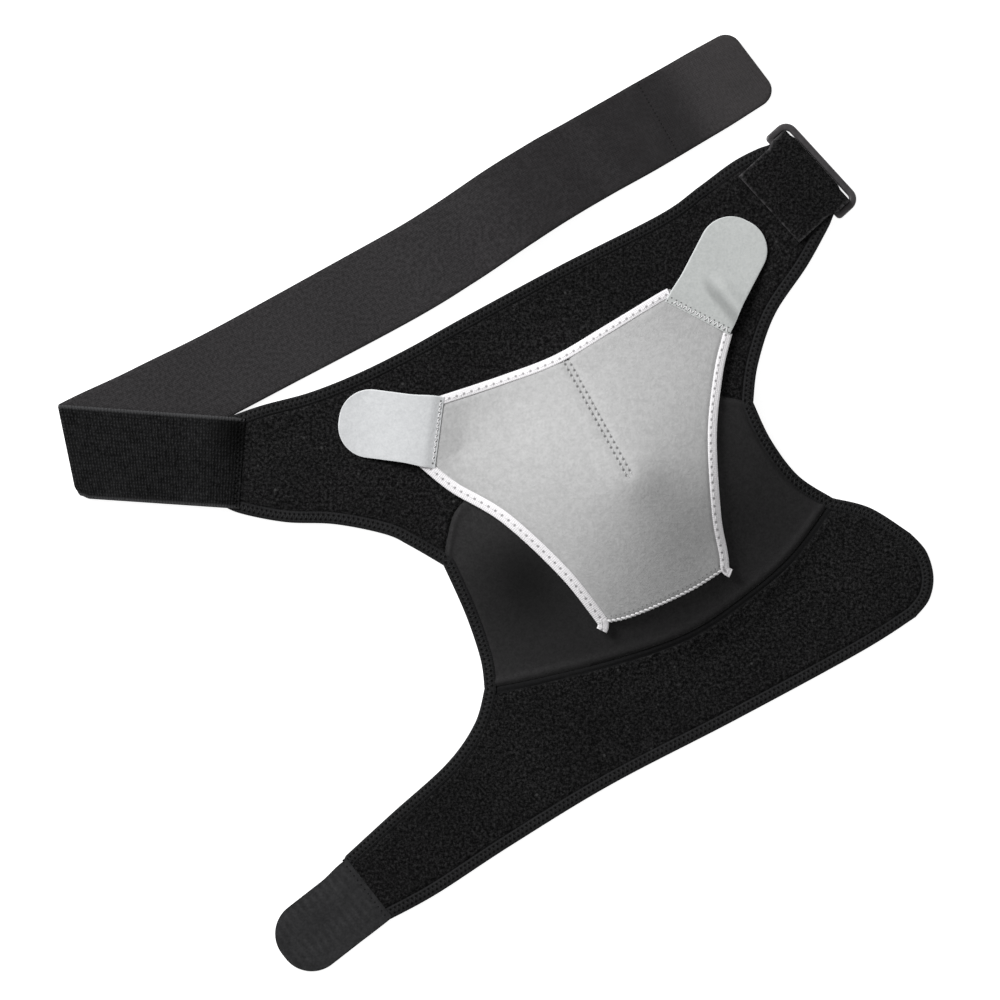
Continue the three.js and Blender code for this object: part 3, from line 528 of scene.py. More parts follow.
def makeRibGroup():
    # Ribs across the cloth's length and cords along it: a raised sine of each pitch, multiplied,
    # to a power that widens the gaps. Noise sways both
    tree, given, result = newGroup("ribbedWeave", ("Crown",), Rib=0.0017, Cord=0.0018, Uneven=0.3)
    wander = calc(tree, "SUBTRACT", noise(tree, given["Vector"], 300.0, 2.0), 0.5)
    sways = calc(tree, "MULTIPLY", wander, given["Uneven"])
    turns = [calc(tree, "ADD", calc(tree, "DIVIDE", part, pitch), sways)
             for part, pitch in zip(separated(tree, given["Vector"]), (given["Rib"], given["Cord"]))]
    ribs, cords = (calc(tree, "MULTIPLY_ADD", wave(tree, turn), 0.5, 0.5) for turn in turns)
    crown = calc(tree, "MULTIPLY", ribs, calc(tree, "MULTIPLY_ADD", cords, 0.7, 0.3))
    wire(tree, calc(tree, "POWER", crown, 1.8), result["Crown"])
    return tree


def makeHolesGroup():
    # Needle holes in a row: the distance from the nearest whole pitch along the row and from the
    # row itself, less than the radius inside a hole
    tree, given, result = newGroup("needleHoles", ("Hole",), vector=False, Along=0.0, Across=0.0,
                                   Pitch=0.003, Row=0.001, Shift=0.0, Radius=0.0005)
    turns = calc(tree, "ADD", calc(tree, "DIVIDE", given["Along"], given["Pitch"]), given["Shift"])
    away = calc(tree, "SUBTRACT", calc(tree, "FRACT", turns), 0.5)
    along = calc(tree, "MULTIPLY", away, given["Pitch"])
    across = calc(tree, "SUBTRACT", given["Across"], given["Row"])
    squares = (calc(tree, "POWER", along, 2.0), calc(tree, "POWER", across, 2.0))
    far = calc(tree, "DIVIDE", calc(tree, "SQRT", calc(tree, "ADD", *squares)), given["Radius"])
    wire(tree, between(tree, far, 0.5, 1.3, (1.0, 0.0)), result["Hole"])
    return tree


def makeToneGroup():
    # Use and handling: broad uneven tone, and rare specks of lint
    tree, given, result = newGroup("handled", ("Tone", "Lint"), Patch=14.0, Specks=90.0)
    broad = noise(tree, given["Vector"], given["Patch"], 3.0, 0.55)
    wire(tree, between(tree, broad, 0.3, 0.7), result["Tone"])
    cells = tree.nodes.new("ShaderNodeTexVoronoi")
    wire(tree, given["Vector"], cells.inputs["Vector"])
    wire(tree, given["Specks"], cells.inputs["Scale"])
    wire(tree, between(tree, cells.outputs["Distance"], 0.03, 0.07, (1.0, 0.0)), result["Lint"])
    return tree


groups = {"pile": makePileGroup(), "knit": makeKnitGroup(), "rib": makeRibGroup(),
          "holes": makeHolesGroup(), "tone": makeToneGroup()}


def useGroup(tree, name, **given):
    # One use of a shared group, with its inputs linked or set
    node = tree.nodes.new("ShaderNodeGroup")
    node.node_tree = groups[name]
    for key, value in given.items():
        wire(tree, value, node.inputs[key])
    return node.outputs


def clothPlace(tree, name):
    # One of the piece's own maps, in metres, and its two numbers
    node = tree.nodes.new("ShaderNodeUVMap")
    node.uv_map = name
    return node.outputs[0], *separated(tree, node.outputs[0])


def readValue(tree, name):
    # One of the piece's own values per point
    node = tree.nodes.new("ShaderNodeAttribute")
    node.attribute_name = name
    return node.outputs["Fac"]


def colourBetween(tree, share, dark, light):
    # Blend of two colours by the share
    node = tree.nodes.new("ShaderNodeMix")
    node.data_type = "RGBA"
    wire(tree, share, node.inputs["Factor"])
    for socket, colour in ((node.inputs[6], dark), (node.inputs[7], light)):
        wire(tree, (*colour, 1.0) if isinstance(colour, tuple) else colour, socket)
    return node.outputs[2]


def pierced(tree, colour, height, along, across, rows, hole, keep=1.0):
    # Rows of needle holes, each given by its pitch, row, shift and radius: they take the hole's
    # colour and sink the height, as far as they are kept
    for pitch, row, shift, radius in rows:
        spots = useGroup(tree, "holes", Along=along, Across=across, Pitch=pitch, Row=row,
                         Shift=shift, Radius=radius)["Hole"]
        spots = calc(tree, "MULTIPLY", spots, keep)
        colour = colourBetween(tree, spots, colour, hole)
        height = calc(tree, "SUBTRACT", height, calc(tree, "MULTIPLY", spots, 1.6))
    return colour, height


def startMaterial(name, roughness, specular, sheen=0.0):
    # A material with its plain constants, its tree and the place on the object
    material = bpy.data.materials.new(name)
    material.use_nodes = True
    tree = material.node_tree
    shader = tree.nodes["Principled BSDF"]
    shader.inputs["Roughness"].default_value = roughness
    shader.inputs["Specular IOR Level"].default_value = specular
    shader.inputs["Sheen Weight"].default_value = sheen
    return material, tree, tree.nodes.new("ShaderNodeTexCoord").outputs["Object"]


def finished(material, colour, height, strength, distance=0.0003, roughness=None):
    # Colour, height as a bump and, where it varies, roughness into the material's shader
    tree = material.node_tree
    shader = tree.nodes["Principled BSDF"]
    wire(tree, colour, shader.inputs["Base Color"])
    if roughness is not None:
        wire(tree, roughness, shader.inputs["Roughness"])
    bump = tree.nodes.new("ShaderNodeBump")
    bump.inputs["Strength"].default_value = strength
    bump.inputs["Distance"].default_value = distance
    wire(tree, height, bump.inputs["Height"])
    wire(tree, bump.outputs[0], shader.inputs["Normal"])
    return material


pileLook = {"root": (0.0021, 0.0021, 0.0022), "tip": (0.032, 0.0315, 0.032), "loops": 640.0,
            "lint": (0.07, 0.07, 0.07), "lintPart": 0.6, "toneRange": (0.75, 1.15), "bump": (0.8, 0.0006),
            "bareDark": (0.0075, 0.0075, 0.0078), "bareLight": (0.0135, 0.0135, 0.014), "cutEdge": None}
keeperLook = {**pileLook, "loops": 680.0, "cutEdge": (0.075, 0.073, 0.075), "fraying": (0.3, 1.9)}


def makePile(name, look):
    # Loop pile: roots and tips by the pile group, bare cloth where the piece carries no pile, and
    # a frayed edge where it is cut
    material, tree, where = startMaterial(name, 1.0, 0.06)
    pile = useGroup(tree, "pile", Vector=where, Loops=look["loops"])
    tone = useGroup(tree, "tone", Vector=where, Specks=70.0)
    tips = calc(tree, "MULTIPLY", pile["Tips"], between(tree, tone["Tone"], 0.0, 1.0, look["toneRange"]))
    colour = colourBetween(tree, tips, look["root"], look["tip"])
    lint = calc(tree, "MULTIPLY", tone["Lint"], look["lintPart"])
    colour = colourBetween(tree, lint, colour, look["lint"])
    knit = useGroup(tree, "knit", Vector=where, Stitches=1000.0, Broken=0.7)
    bare = colourBetween(tree, knit["Shade"], look["bareDark"], look["bareLight"])
    piled = readValue(tree, "piled")
    colour = colourBetween(tree, piled, bare, colour)
    if look["cutEdge"]:
        near = between(tree, readValue(tree, "fromEdge"), *look["fraying"], (1.0, 0.0))
        frayed = calc(tree, "MULTIPLY", near, between(tree, noise(tree, where, 700.0), 0.3, 0.6))
        colour = colourBetween(tree, frayed, colour, look["cutEdge"])
    return finished(material, colour, calc(tree, "MULTIPLY", pile["Height"], piled), *look["bump"])


jerseyLook = {"dark": (0.0118, 0.0115, 0.0118), "light": (0.0265, 0.0258, 0.0265), "stitches": 900.0,
              "paintedShade": (0.0012, 0.0012, 0.0012)}


def makeJersey(name, look):
    # Smooth knit face: knit and broad tone mixed, with painted shade where the piece carries its shaded
    # value
    material, tree, where = startMaterial(name, 0.75, 0.18)
    knit = useGroup(tree, "knit", Vector=where, Stitches=look["stitches"], Broken=0.7)["Shade"]
    tone = useGroup(tree, "tone", Vector=where, Patch=18.0)["Tone"]
    colour = colourBetween(tree, weighted(tree, (knit, 0.65), (tone, 0.35)), look["dark"], look["light"])
    colour = colourBetween(tree, readValue(tree, "shaded"), colour, look["paintedShade"])
    return finished(material, colour, knit, 0.35, roughness=between(tree, knit, 0.2, 0.8, (0.85, 0.65)))


# The rows of needle holes: pitch, row, shift and radius, in metres
edgeTapeLook = {"dark": (0.0085, 0.0085, 0.0088), "light": (0.027, 0.027, 0.028), "specular": 0.1,
                "hole": (0.001, 0.001, 0.001),
                "rows": [(0.0027, 0.0021, 0.0, 0.0007), (0.0027, 0.0047, 0.5, 0.0007)]}
padTapeLook = {"dark": (0.8, 0.785, 0.8), "light": (0.9, 0.88, 0.9), "specular": 0.3,
               "hole": (0.36, 0.35, 0.36), "rows": [(0.0043, 0.0032, 0.0, 0.00075)]}


def makeTape(name, look):
    # Binding tape: fine ribs across it, and needle holes on the given rows
    material, tree, spots = startMaterial(name, 0.85, look["specular"])
    where, along, across = clothPlace(tree, "cloth")
    rib = useGroup(tree, "rib", Vector=where, Rib=0.0011, Cord=0.0009, Uneven=0.5)["Crown"]
    tone = useGroup(tree, "tone", Vector=spots, Patch=40.0)["Tone"]
    grain = between(tree, noise(tree, spots, 1000.0, 2.0, 0.6), 0.35, 0.65)
    share = weighted(tree, (tone, 0.25), (rib, 0.35), (grain, 0.4))
    colour = colourBetween(tree, share, look["dark"], look["light"])
    return finished(material, *pierced(tree, colour, rib, along, across, look["rows"], look["hole"]), 0.6)


ribbedLook = {"dark": (0.0006, 0.0006, 0.0007), "light": (0.031, 0.031, 0.032),
              "shadow": (0.0022, 0.0022, 0.0022), "pale": (0.03, 0.03, 0.03), "specular": 0.05,
              "rim": (0.062, 0.062, 0.064), "rimPart": 0.9, "rimReach": 2.4,
              "rib": 0.0017, "cord": 0.0019, "uneven": 1.5, "grain": 450.0, "grainPart": 0.26,
              "depth": 0.0006, "hole": (0.0008, 0.0008, 0.0008),
              "rows": [(0.0028, 0.0012, 0.0, 0.0005), (0.0028, 0.0026, 0.5, 0.0005)]}
plainLook = {"dark": (0.0175, 0.0165, 0.0172), "light": (0.047, 0.0445, 0.0465),
             "shadow": (0.0175, 0.0162, 0.0168), "pale": (0.075, 0.069, 0.069), "specular": 0.12,
             "rim": (0.011, 0.011, 0.011), "rimPart": 0.6, "rimReach": 1.0,
             "rib": 0.0012, "cord": 0.0011, "uneven": 0.9, "grain": 620.0, "grainPart": 0.65,
             "depth": 0.0002, "hole": (0.01, 0.01, 0.01),
             "rows": [(0.0024, 0.4735, 0.0, 0.0005)]}


def makeElastic(name, look):
    # Elastic web: ribs and cords by the weave group, grain over them, painted shade where the piece
    # carries its darker value, a paler stretch, a lighter rim at both edges, and the rows of needle
    # holes across it
    material, tree, spots = startMaterial(name, 0.85, look["specular"])
    where, along, across = clothPlace(tree, "cloth")
    weave = useGroup(tree, "rib", Vector=where, Rib=look["rib"], Cord=look["cord"],
                     Uneven=look["uneven"])["Crown"]
    tone = useGroup(tree, "tone", Vector=spots, Patch=22.0)["Tone"]
    grain = between(tree, noise(tree, spots, look["grain"], 2.0, 0.6), 0.34, 0.66)
    share = weighted(tree, (weave, 0.85 - look["grainPart"]), (grain, look["grainPart"]), (tone, 0.15))
    colour = colourBetween(tree, share, look["dark"], look["light"])
    colour = colourBetween(tree, readValue(tree, "darker"), colour, look["shadow"])
    colour = colourBetween(tree, readValue(tree, "paler"), colour, look["pale"])
    near = between(tree, readValue(tree, "fromEdge"), 0.2, look["rimReach"], (1.0, 0.0))
    colour = colourBetween(tree, calc(tree, "MULTIPLY", near, look["rimPart"]), colour, look["rim"])
    colour, height = pierced(tree, colour, weave, across, along, look["rows"], look["hole"])
    return finished(material, colour, height, 0.7, look["depth"])


clothLooks = {
    "leftTab": {"dark": (0.53, 0.54, 0.55), "light": (0.67, 0.68, 0.69), "stitches": 900.0,
                "edge": (0.74, 0.75, 0.76), "hole": (0.12, 0.12, 0.12), "bump": 0.2,
                "rows": [(0.003, 0.0014, 0.0, 0.0006)], "ridgePitch": None},
    "rightTab": {"dark": (0.45, 0.468, 0.46), "light": (0.585, 0.6, 0.592), "stitches": 900.0,
                 "edge": (0.66, 0.68, 0.68), "hole": (0.15, 0.15, 0.15), "bump": 0.2,
                 "rows": [(0.0028, 0.001, 0.0, 0.0005), (0.0028, 0.0034, 0.5, 0.0005)],
                 "ridgePitch": None},
    "armTab": {"dark": (0.0125, 0.0125, 0.0132), "light": (0.04, 0.04, 0.0415), "stitches": 800.0,
               "edge": (0.008, 0.008, 0.0085), "hole": (0.004, 0.004, 0.004), "bump": 0.4,
               "rows": [(0.003, 0.0025, 0.0, 0.0005)], "ridgePitch": 0.0045},
    "hook": {"dark": (0.004, 0.004, 0.004), "light": (0.012, 0.012, 0.012), "stitches": 700.0, "bump": 0.5,
             "edge": None, "rows": [], "hole": None, "ridgePitch": None},
}


def makeCloth(name, look):
    # Knit or brushed cloth, with a cut edge of its own colour where the piece carries its distance
    # from the edge, soft bands of painted light and shade along it at the ridge pitch, and darker
    # where the piece carries its darker value, which is painted shade in the right tab's crease
    material, tree, where = startMaterial(name, 0.9, 0.15, sheen=0.08)
    knit = useGroup(tree, "knit", Vector=where, Stitches=look["stitches"], Broken=0.85)["Shade"]
    tone = useGroup(tree, "tone", Vector=where, Patch=25.0)["Tone"]
    share = weighted(tree, (knit, 0.75), (tone, 0.25))
    whole, along, across = clothPlace(tree, "cloth")
    # Painted light and shade: bands of colour at the ridge pitch stand in for the shading of the arm tab's
    # ridges
    if look["ridgePitch"]:
        paintedRidgeShade = useGroup(tree, "rib", Vector=whole, Rib=look["ridgePitch"], Cord=0.02, Uneven=0.9)["Crown"]
        share = weighted(tree, (share, 0.78), (paintedRidgeShade, 0.3))
    colour = colourBetween(tree, share, look["dark"], look["light"])
    colour = colourBetween(tree, readValue(tree, "darker"), colour, tuple(0.55 * c for c in look["dark"]))
    if look["edge"]:
        near = between(tree, readValue(tree, "fromEdge"), 0.25, 0.7, (1.0, 0.0))
        colour = colourBetween(tree, near, colour, look["edge"])
    colour, height = pierced(tree, colour, knit, across, along, look["rows"], look["hole"])
    return finished(material, colour, height, look["bump"])


padLook = {"dark": (0.375, 0.375, 0.375), "light": (0.495, 0.495, 0.495), "hole": (0.14, 0.14, 0.14),
           "dartPitch": 0.0035, "dartRow": 0.0014, "dartLength": 0.0758, "dartHole": 0.00078,
           "hemPitch": 0.0027, "hemRow": 0.0032, "hemHole": 0.0004, "hemShade": (0.22, 0.22, 0.22)}


def makePadKnit(name, look):
    # The pad's heathered knit, with the dart's two rows of holes and a row above the lower hem
    material, tree, where = startMaterial(name, 0.95, 0.1, sheen=0.05)
    knit = useGroup(tree, "knit", Vector=where, Stitches=680.0, Broken=0.85)["Shade"]
    tone = useGroup(tree, "tone", Vector=where, Patch=20.0)["Tone"]
    colour = colourBetween(tree, weighted(tree, (knit, 0.8), (tone, 0.2)), look["dark"], look["light"])
    _, along, across = clothPlace(tree, "dart")
    inside = calc(tree, "MULTIPLY", calc(tree, "GREATER_THAN", along, 0.0),
                  calc(tree, "LESS_THAN", along, look["dartLength"]))
    rows = [(look["dartPitch"], row, shift, look["dartHole"])
            for row, shift in ((-look["dartRow"], 0.0), (look["dartRow"], 0.5))]
    colour, height = pierced(tree, colour, knit, along, across, rows, look["hole"], inside)
    _, along, across = clothPlace(tree, "hem")
    rows = [(look["hemPitch"], look["hemRow"], 0.5, look["hemHole"])]
    colour, height = pierced(tree, colour, height, along, across, rows, look["hemShade"])
    return finished(material, colour, height, 0.35)


def makeThread(name, colour):
    # Twisted thread: fine noise between the colour and seven tenths of it
    material, tree, where = startMaterial(name, 0.6, 0.3)
    twist = noise(tree, where, 2500.0, 2.0)
    return finished(material, colourBetween(tree, twist, tuple(0.7 * c for c in colour), colour),
                    twist, 0.4, 0.0002)


def makePlastic(name, colour):
    # Moulded plastic: faint spark grain, and scuffs that lighten it by half and dull the gloss
    material, tree, where = startMaterial(name, 0.35, 0.45)
    scuffs = noise(tree, where, 160.0, 4.0, 0.7)
    shade = colourBetween(tree, between(tree, scuffs, 0.45, 0.75), colour, tuple(1.5 * c for c in colour))
    return finished(material, shade, noise(tree, where, 1800.0, 2.0), 0.15, 0.0001,
                    between(tree, scuffs, 0.3, 0.7, (0.28, 0.5)))


finishes = {
    "pile": makePile("loop_pile", pileLook),
    "keeperPile": makePile("keeper_pile", keeperLook),
    "jersey": makeJersey("smooth_neoprene", jerseyLook),
    "edgeTape": makeTape("edge_tape", edgeTapeLook),
    "ribbed": makeElastic("ribbed_elastic", ribbedLook),
    "plain": makeElastic("plain_elastic", plainLook),
    "padKnit": makePadKnit("pad_knit", padLook),
    "padTape": makeTape("pad_tape", padTapeLook),
    "leftTab": makeCloth("left_tab_cloth", clothLooks["leftTab"]),
    "rightTab": makeCloth("right_tab_cloth", clothLooks["rightTab"]),
    "armTab": makeCloth("arm_tab_cloth", clothLooks["armTab"]),
    "hook": makeCloth("strap_hook_tape", clothLooks["hook"]),
    "blackThread": makeThread("black_thread", (0.017, 0.017, 0.0175)),
    "whiteThread": makeThread("white_thread", (0.9, 0.89, 0.9)),
    "greyThread": makeThread("grey_thread", (0.56, 0.56, 0.56)),
    "plastic": makePlastic("ring_plastic", (0.046, 0.043, 0.045)),
}
print("finishes ready:", len(finishes))


def bowed(a, b, rows, side):
    # Straight line from a to b whose middle is pushed sideways by shares of its length
    rows = np.array(rows)
    inward = np.array([-(b - a)[1], (b - a)[0]]) * side
    return np.vstack([a, a + rows[:, :1] * (b - a) + rows[:, 1:] * inward, b])


def crowded(near, count):
    # Columns from -1 to 1: the ones near each side as given, and even ones between the last two
    near = np.array(near)
    return np.concatenate([-near[:-1], np.linspace(-near[-1], near[-1], count), near[-2::-1]])[None]


bandEnds = {"start": 0.465, "startMore": 1.2, "endMore": 2.0}  # share of the strap, then millimetres
startHalf = bandEnds["start"] * strap["width"]
endHalf = strap["width"] / 2 + bandEnds["endMore"]
startTop, startBottom = strapEnd.at([0.0, 0.0], np.array([-startHalf - bandEnds["startMore"], startHalf]))
endTop, endBottom = ringPlace.at([0.0, 0.0], np.array([endHalf, -endHalf]))
edges = {}
for band, rows, length, width in ((chest, chestEdges, plan["chestLength"], plan["chestWidth"]),
                                  (arm, armEdges, plan["armLength"], plan["armWidth"])):
    edges |= {name: band.scaled(shares, length, width) for name, shares in rows.items()}
edges["top"] = np.vstack([startTop, edges["top"], endTop])
edges["strapSide"] = np.vstack([startBottom, edges["strapSide"]])
edges["ringSide"] = np.vstack([edges["ringSide"], endBottom])
edges["capLeft"] = bowed(edges["chestSeam"][0], edges["armSeam"][0], capEdges["capLeft"], 1)
edges["capRight"] = bowed(edges["chestSeam"][-1], edges["armSeam"][-1], capEdges["capRight"], -1)

# Cell sizes, the lengths that the arm's tip and the dome add to a count, and the shares at which a
# long edge is cut into parts that face the other side's runs
cells = {"panel": 1.15, "smooth": 1.8, "tape": 1.2, "bandEnd": 88,
         "tip": 95.0, "tipLeast": 20, "dome": 36.0}
facing = {"top": (("strapSide", "chestSeam", "ringSide"), (0, 0.25, 0.79, 1)),
          "armLower": (("armLeft", "armSeam", "armRight"), (0, 0.31, 0.955, 1))}


def outline(step):
    # Every run of the outline with cells of about one step, equal counts where runs face each other
    count = {name: max(3, round(runLength(evenRun(edges[name], 200)) / step))
             for name in ("strapSide", "chestSeam", "ringSide", "armLeft", "armRight", "capLeft")}
    count["armSeam"] = count["chestSeam"]
    count["armTip"] = max(cells["tipLeast"], round(cells["tip"] / step))
    count["capLeft"] += round(cells["dome"] / step)
    count["capRight"] = count["capLeft"]
    made = {name: evenRun(edges[name], number) for name, number in count.items()}
    for name, (others, cuts) in facing.items():
        made[name] = joined(*(evenRun(edges[name], count[other], start, end)
                              for other, start, end in zip(others, cuts, cuts[1:])))
    return made


def boundRuns(runs):
    # The three taped edges, each with the cloth on its left
    return {
        "top": runs["top"][::-1],
        "left": joined(runs["strapSide"], runs["capLeft"], runs["armLeft"][::-1]),
        "right": joined(runs["armLower"], runs["armTip"][::-1], runs["armRight"][::-1],
                        runs["capRight"][::-1], runs["ringSide"]),
    }


tape = {"width": 6.5, "thickness": 0.5, "crown": 0.15, "nosePower": 3.2, "rows": (2.1, 4.7), "pitch": 2.7,
        "thread": 0.2, "bow": 0.1, "trim": 3.0, "above": 0.1,
        "turned": {"left": (1.7, 4.5), "top": (0.6, 9.0), "right": (0.6, 9.0)}}  # inwards, reach
tapeRuns = boundRuns(outline(cells["tape"]))

# The tapes' ends turn in a little: at the arm's end, and beside the ring, whose arms pass there
for side, (inwards, reach) in tape["turned"].items():
    run = tapeRuns[side]
    fromEnd = np.linalg.norm(run - run[0 if side == "top" else -1], axis=1)
    turned = inwards * (1 - rise(fromEnd / reach)) ** 2
    tapeRuns[side] = run + headings(run)[1] * turned[:, None]
tapeRim = np.vstack([*tapeRuns.values()])
rimInward = np.vstack([headings(run)[1] for run in tapeRuns.values()])

panel = {"tuck": 0.9, "tuckReach": 5.0, "pinch": 0.62, "pinchLength": 2.6, "clear": 0.08,
         "grains": (1.9, 1.25), "swell": 0.3, "swellCell": 46,
         "ridge": 0.8, "ridgeAt": 2.6, "ridgeReach": 1.5,
         "stripWidth": 3.4, "groove": 0.55, "grooveReach": 0.8, "bareDepth": 0.35, "bareReach": 1.5}
panels = {  # a seam has a depth and a reach, and a strip is a seam with bare cloth beside it
    "chest_panel": {"thickness": 3.0, "pile": 0.26, "seams": {"chestSeam": (0.8, 2.2)}, "strip": None,
                    "seed": 3, "finish": "pile", "slot": "loop_pile", "node": "chest_band"},
    "arm_panel": {"thickness": 3.0, "pile": 0.26, "seams": {"armSeam": (0.9, 2.0)}, "strip": "armSeam",
                  "seed": 11, "finish": "pile", "slot": "loop_pile", "node": "arm_band"},
    "shoulder_cap_panel": {"thickness": 2.75, "pile": 0, "strip": None, "seed": 21,
                           "seams": {"chestSeam": (0.9, 1.6), "armSeam": (0.8, 1.6)},
                           "finish": "jersey", "slot": "smooth_neoprene", "node": "shoulder_cap"},
}
# Painted shade on the smooth cap: a dark bell around a spot beside the pad's lower left edge
capShade = {"place": (528.0, 584.0), "reach": 27.0, "part": 0.92}


def panelPiece(name, grid, look):
    # A draped sheet: its rim drawn in under the tape, its faces pinched there and at the seams, and
    # its upper face raised by grain of two sizes. Beside the strip's run the cloth is bare, with a
    # second groove where the pile begins
    fromRim, index = nearest(grid, tapeRim)
    places = grid + rimInward[index] * (panel["tuck"] * (1 - rise(fromRim / panel["tuckReach"])))[..., None]
    under = lie(places)
    inside = fromRim - tape["width"]
    top = under + look["thickness"] - panel["pinch"] * (1 - risen(inside, -0.7, panel["pinchLength"]))
    base = under + (tape["thickness"] + panel["clear"]) * (1 - risen(inside, -0.5, 2))
    for seam, (depth, reach) in look["seams"].items():
        fromSeam = nearest(grid, runs[seam])[0]
        top -= depth * (1 - rise(fromSeam / reach)) ** 2
        if not look["pile"]:  # the smooth cap rolls up a little beside its seams
            top += panel["ridge"] * bell(fromSeam - panel["ridgeAt"], panel["ridgeReach"])
    piled = risen(inside, -1, 2)
    if look["strip"]:
        beyond = nearest(grid, runs[look["strip"]])[0] - panel["stripWidth"]
        piled = piled * rise(beyond / panel["grooveReach"])
        top -= panel["groove"] * bell(beyond, panel["grooveReach"])
        top -= panel["bareDepth"] * (1 - rise(beyond / panel["bareReach"]))
    grain = sum(0.5 * speckle(places, cell, look["seed"] + k) for k, cell in enumerate(panel["grains"]))
    swell = speckle(places, panel["swellCell"], look["seed"] + 2)
    top += look["pile"] * grain * piled + panel["swell"] * swell * risen(inside, -1, 4)
    # Painted shade, carried as the value shaded; only the smooth cap's finish reads it
    away = np.linalg.norm(grid - photoPlace(*capShade["place"]), axis=-1)
    over = raised(places, top)
    piece = sheetMesh(name, raised(places, base), over, {"cloth": (grid[..., 0], grid[..., 1])},
                      {"piled": piled, "shaded": capShade["part"] * bell(away, capShade["reach"])})
    setFinish(piece, finishes[look["finish"]], look["slot"], look["node"])


tucked = {"short": 0.6, "open": 200, "start": 4, "length": 14}


def tuckedEnd(grid):
    # The chest band ends inside the keeper's fold, narrow enough to pass between the ring's arms:
    # places are held to a half width that shrinks smoothly towards the end
    along, across = ringPlace.local(grid)
    opened = risen(-along, tucked["start"], tucked["length"])
    half = mix(strap["width"] / 2 - tucked["short"], tucked["open"], opened)
    return ringPlace.at(np.minimum(along, -tucked["short"]), np.clip(across, -half, half))


runs, smoothRuns = outline(cells["panel"]), outline(cells["smooth"])
chestGrid = stretched(runs["top"], joined(runs["strapSide"], runs["chestSeam"], runs["ringSide"]),
                      straight(startTop, startBottom, cells["bandEnd"]),
                      straight(endTop, endBottom, cells["bandEnd"]))
armGrid = stretched(joined(runs["armLeft"], runs["armSeam"], runs["armRight"]), runs["armLower"],
                    straight(runs["armLeft"][0], runs["armLower"][0], len(runs["armTip"]) - 1),
                    runs["armTip"])
capGrid = stretched(*(smoothRuns[name] for name in ("chestSeam", "armSeam", "capLeft", "capRight")))
for (name, look), grid in zip(panels.items(), (tuckedEnd(chestGrid), armGrid, capGrid)):
    panelPiece(name, grid, look)
print("panels made")


def tapeSection(width, thickness, crown):
    # Folded tape round an edge, as a chain of (inward, height): over the top, round the edge by a
    # superellipse, and back below. The inner chain lies one tape thickness inside
    radius = thickness / 2
    turn = np.linspace(math.pi / 2, 1.5 * math.pi, 9)
    flat = np.linspace(width, radius, 9)[:-1]
    lift = crown * np.sin(math.pi * (width - flat) / (width - radius))
    top = np.stack([flat, thickness + lift], axis=1)
    nose = np.stack([np.cos(turn), np.sin(turn)], axis=1)
    nose = radius + radius * np.sign(nose) * np.abs(nose) ** (2 / tape["nosePower"])
    bottom = np.stack([np.linspace(radius, width, 5)[1:], np.zeros(4)], axis=1)
    outer = np.vstack([top, nose, bottom])
    outer[0, 1] -= tape["thickness"] * 0.6  # the tape's own edge is pressed into the cloth
    away = np.maximum(np.abs(outer[:, 1] - radius) - tape["thickness"], 0)
    inner = np.stack([np.where(outer[:, 0] < radius, outer[:, 0] + tape["thickness"], outer[:, 0]),
                      radius + np.sign(outer[:, 1] - radius) * away], axis=1)
    return outer, inner


def swept(run, section, height):
    # A section carried along a run: inward to its left, and up from the height function
    places = run[:, None] + headings(run)[1][:, None] * section[None, :, :1]
    return np.concatenate([places, (height(places) + section[None, :, 1])[..., None]], axis=-1)


def tapePiece(name, run, width, thickness, height, crown):
    # The folded tape swept along its run; its map is the length along and the girth from the edge
    outer, inner = tapeSection(width, thickness, crown)
    girth = np.where(outer[:, 1] > thickness * 0.4, outer[:, 0], -outer[:, 0])
    return sheetMesh(name, swept(run, inner, height), swept(run, outer, height),
                     {"cloth": (lengthsAlong(run)[:, None], girth[None])}, sharp=60)


def edgeStitches(name, run):
    # Zigzag thread between the tape's two rows: out to the second in half a pitch, and back
    pitch, trim, (first, second) = tape["pitch"], tape["trim"], tape["rows"]
    u = trim + pitch * np.arange(int((runLength(run) - 2 * trim) / pitch))
    rows = [alongRun(run, u + shift * pitch, inset)
            for shift, inset in ((0, first), (0.5, second), (1, first))]
    rows = [raised(places, lie(places) + plan["bandThickness"] + tape["above"]) for places in rows]
    zigzag(name, *rows, tape["thread"], tape["bow"], "blackThread", "edge_tape")


for side, run in tapeRuns.items():
    piece = tapePiece("edge_tape_" + side, run, tape["width"], plan["bandThickness"], lie, tape["crown"])
    setFinish(piece, finishes["edgeTape"], "edge_tape", "binding_" + side)
    edgeStitches("edge_stitch_" + side, run)
print("edge tapes made")


# The elastic strap is a ribbed leg, a flat oblique fold and the leg that returns underneath
strapLook = {"across": 40, "ribStep": 0.43, "returnStep": 2.2, "ribHeight": 0.09, "ribPitch": 1.7,
             "rounding": 0.55, "roundReach": 1.6, "settle": (2, 25), "sewnDepth": 1.45, "sewnReach": 8,
             "sink": 0.45, "sinkReach": 9, "overPatch": (3, 12), "skewEnd": (0.7, -1.5),
             "foldCorner": (79.5, 499), "cornerIn": (0.7, 0.71), "cornerCut": 1.9, "cornerReach": 7}
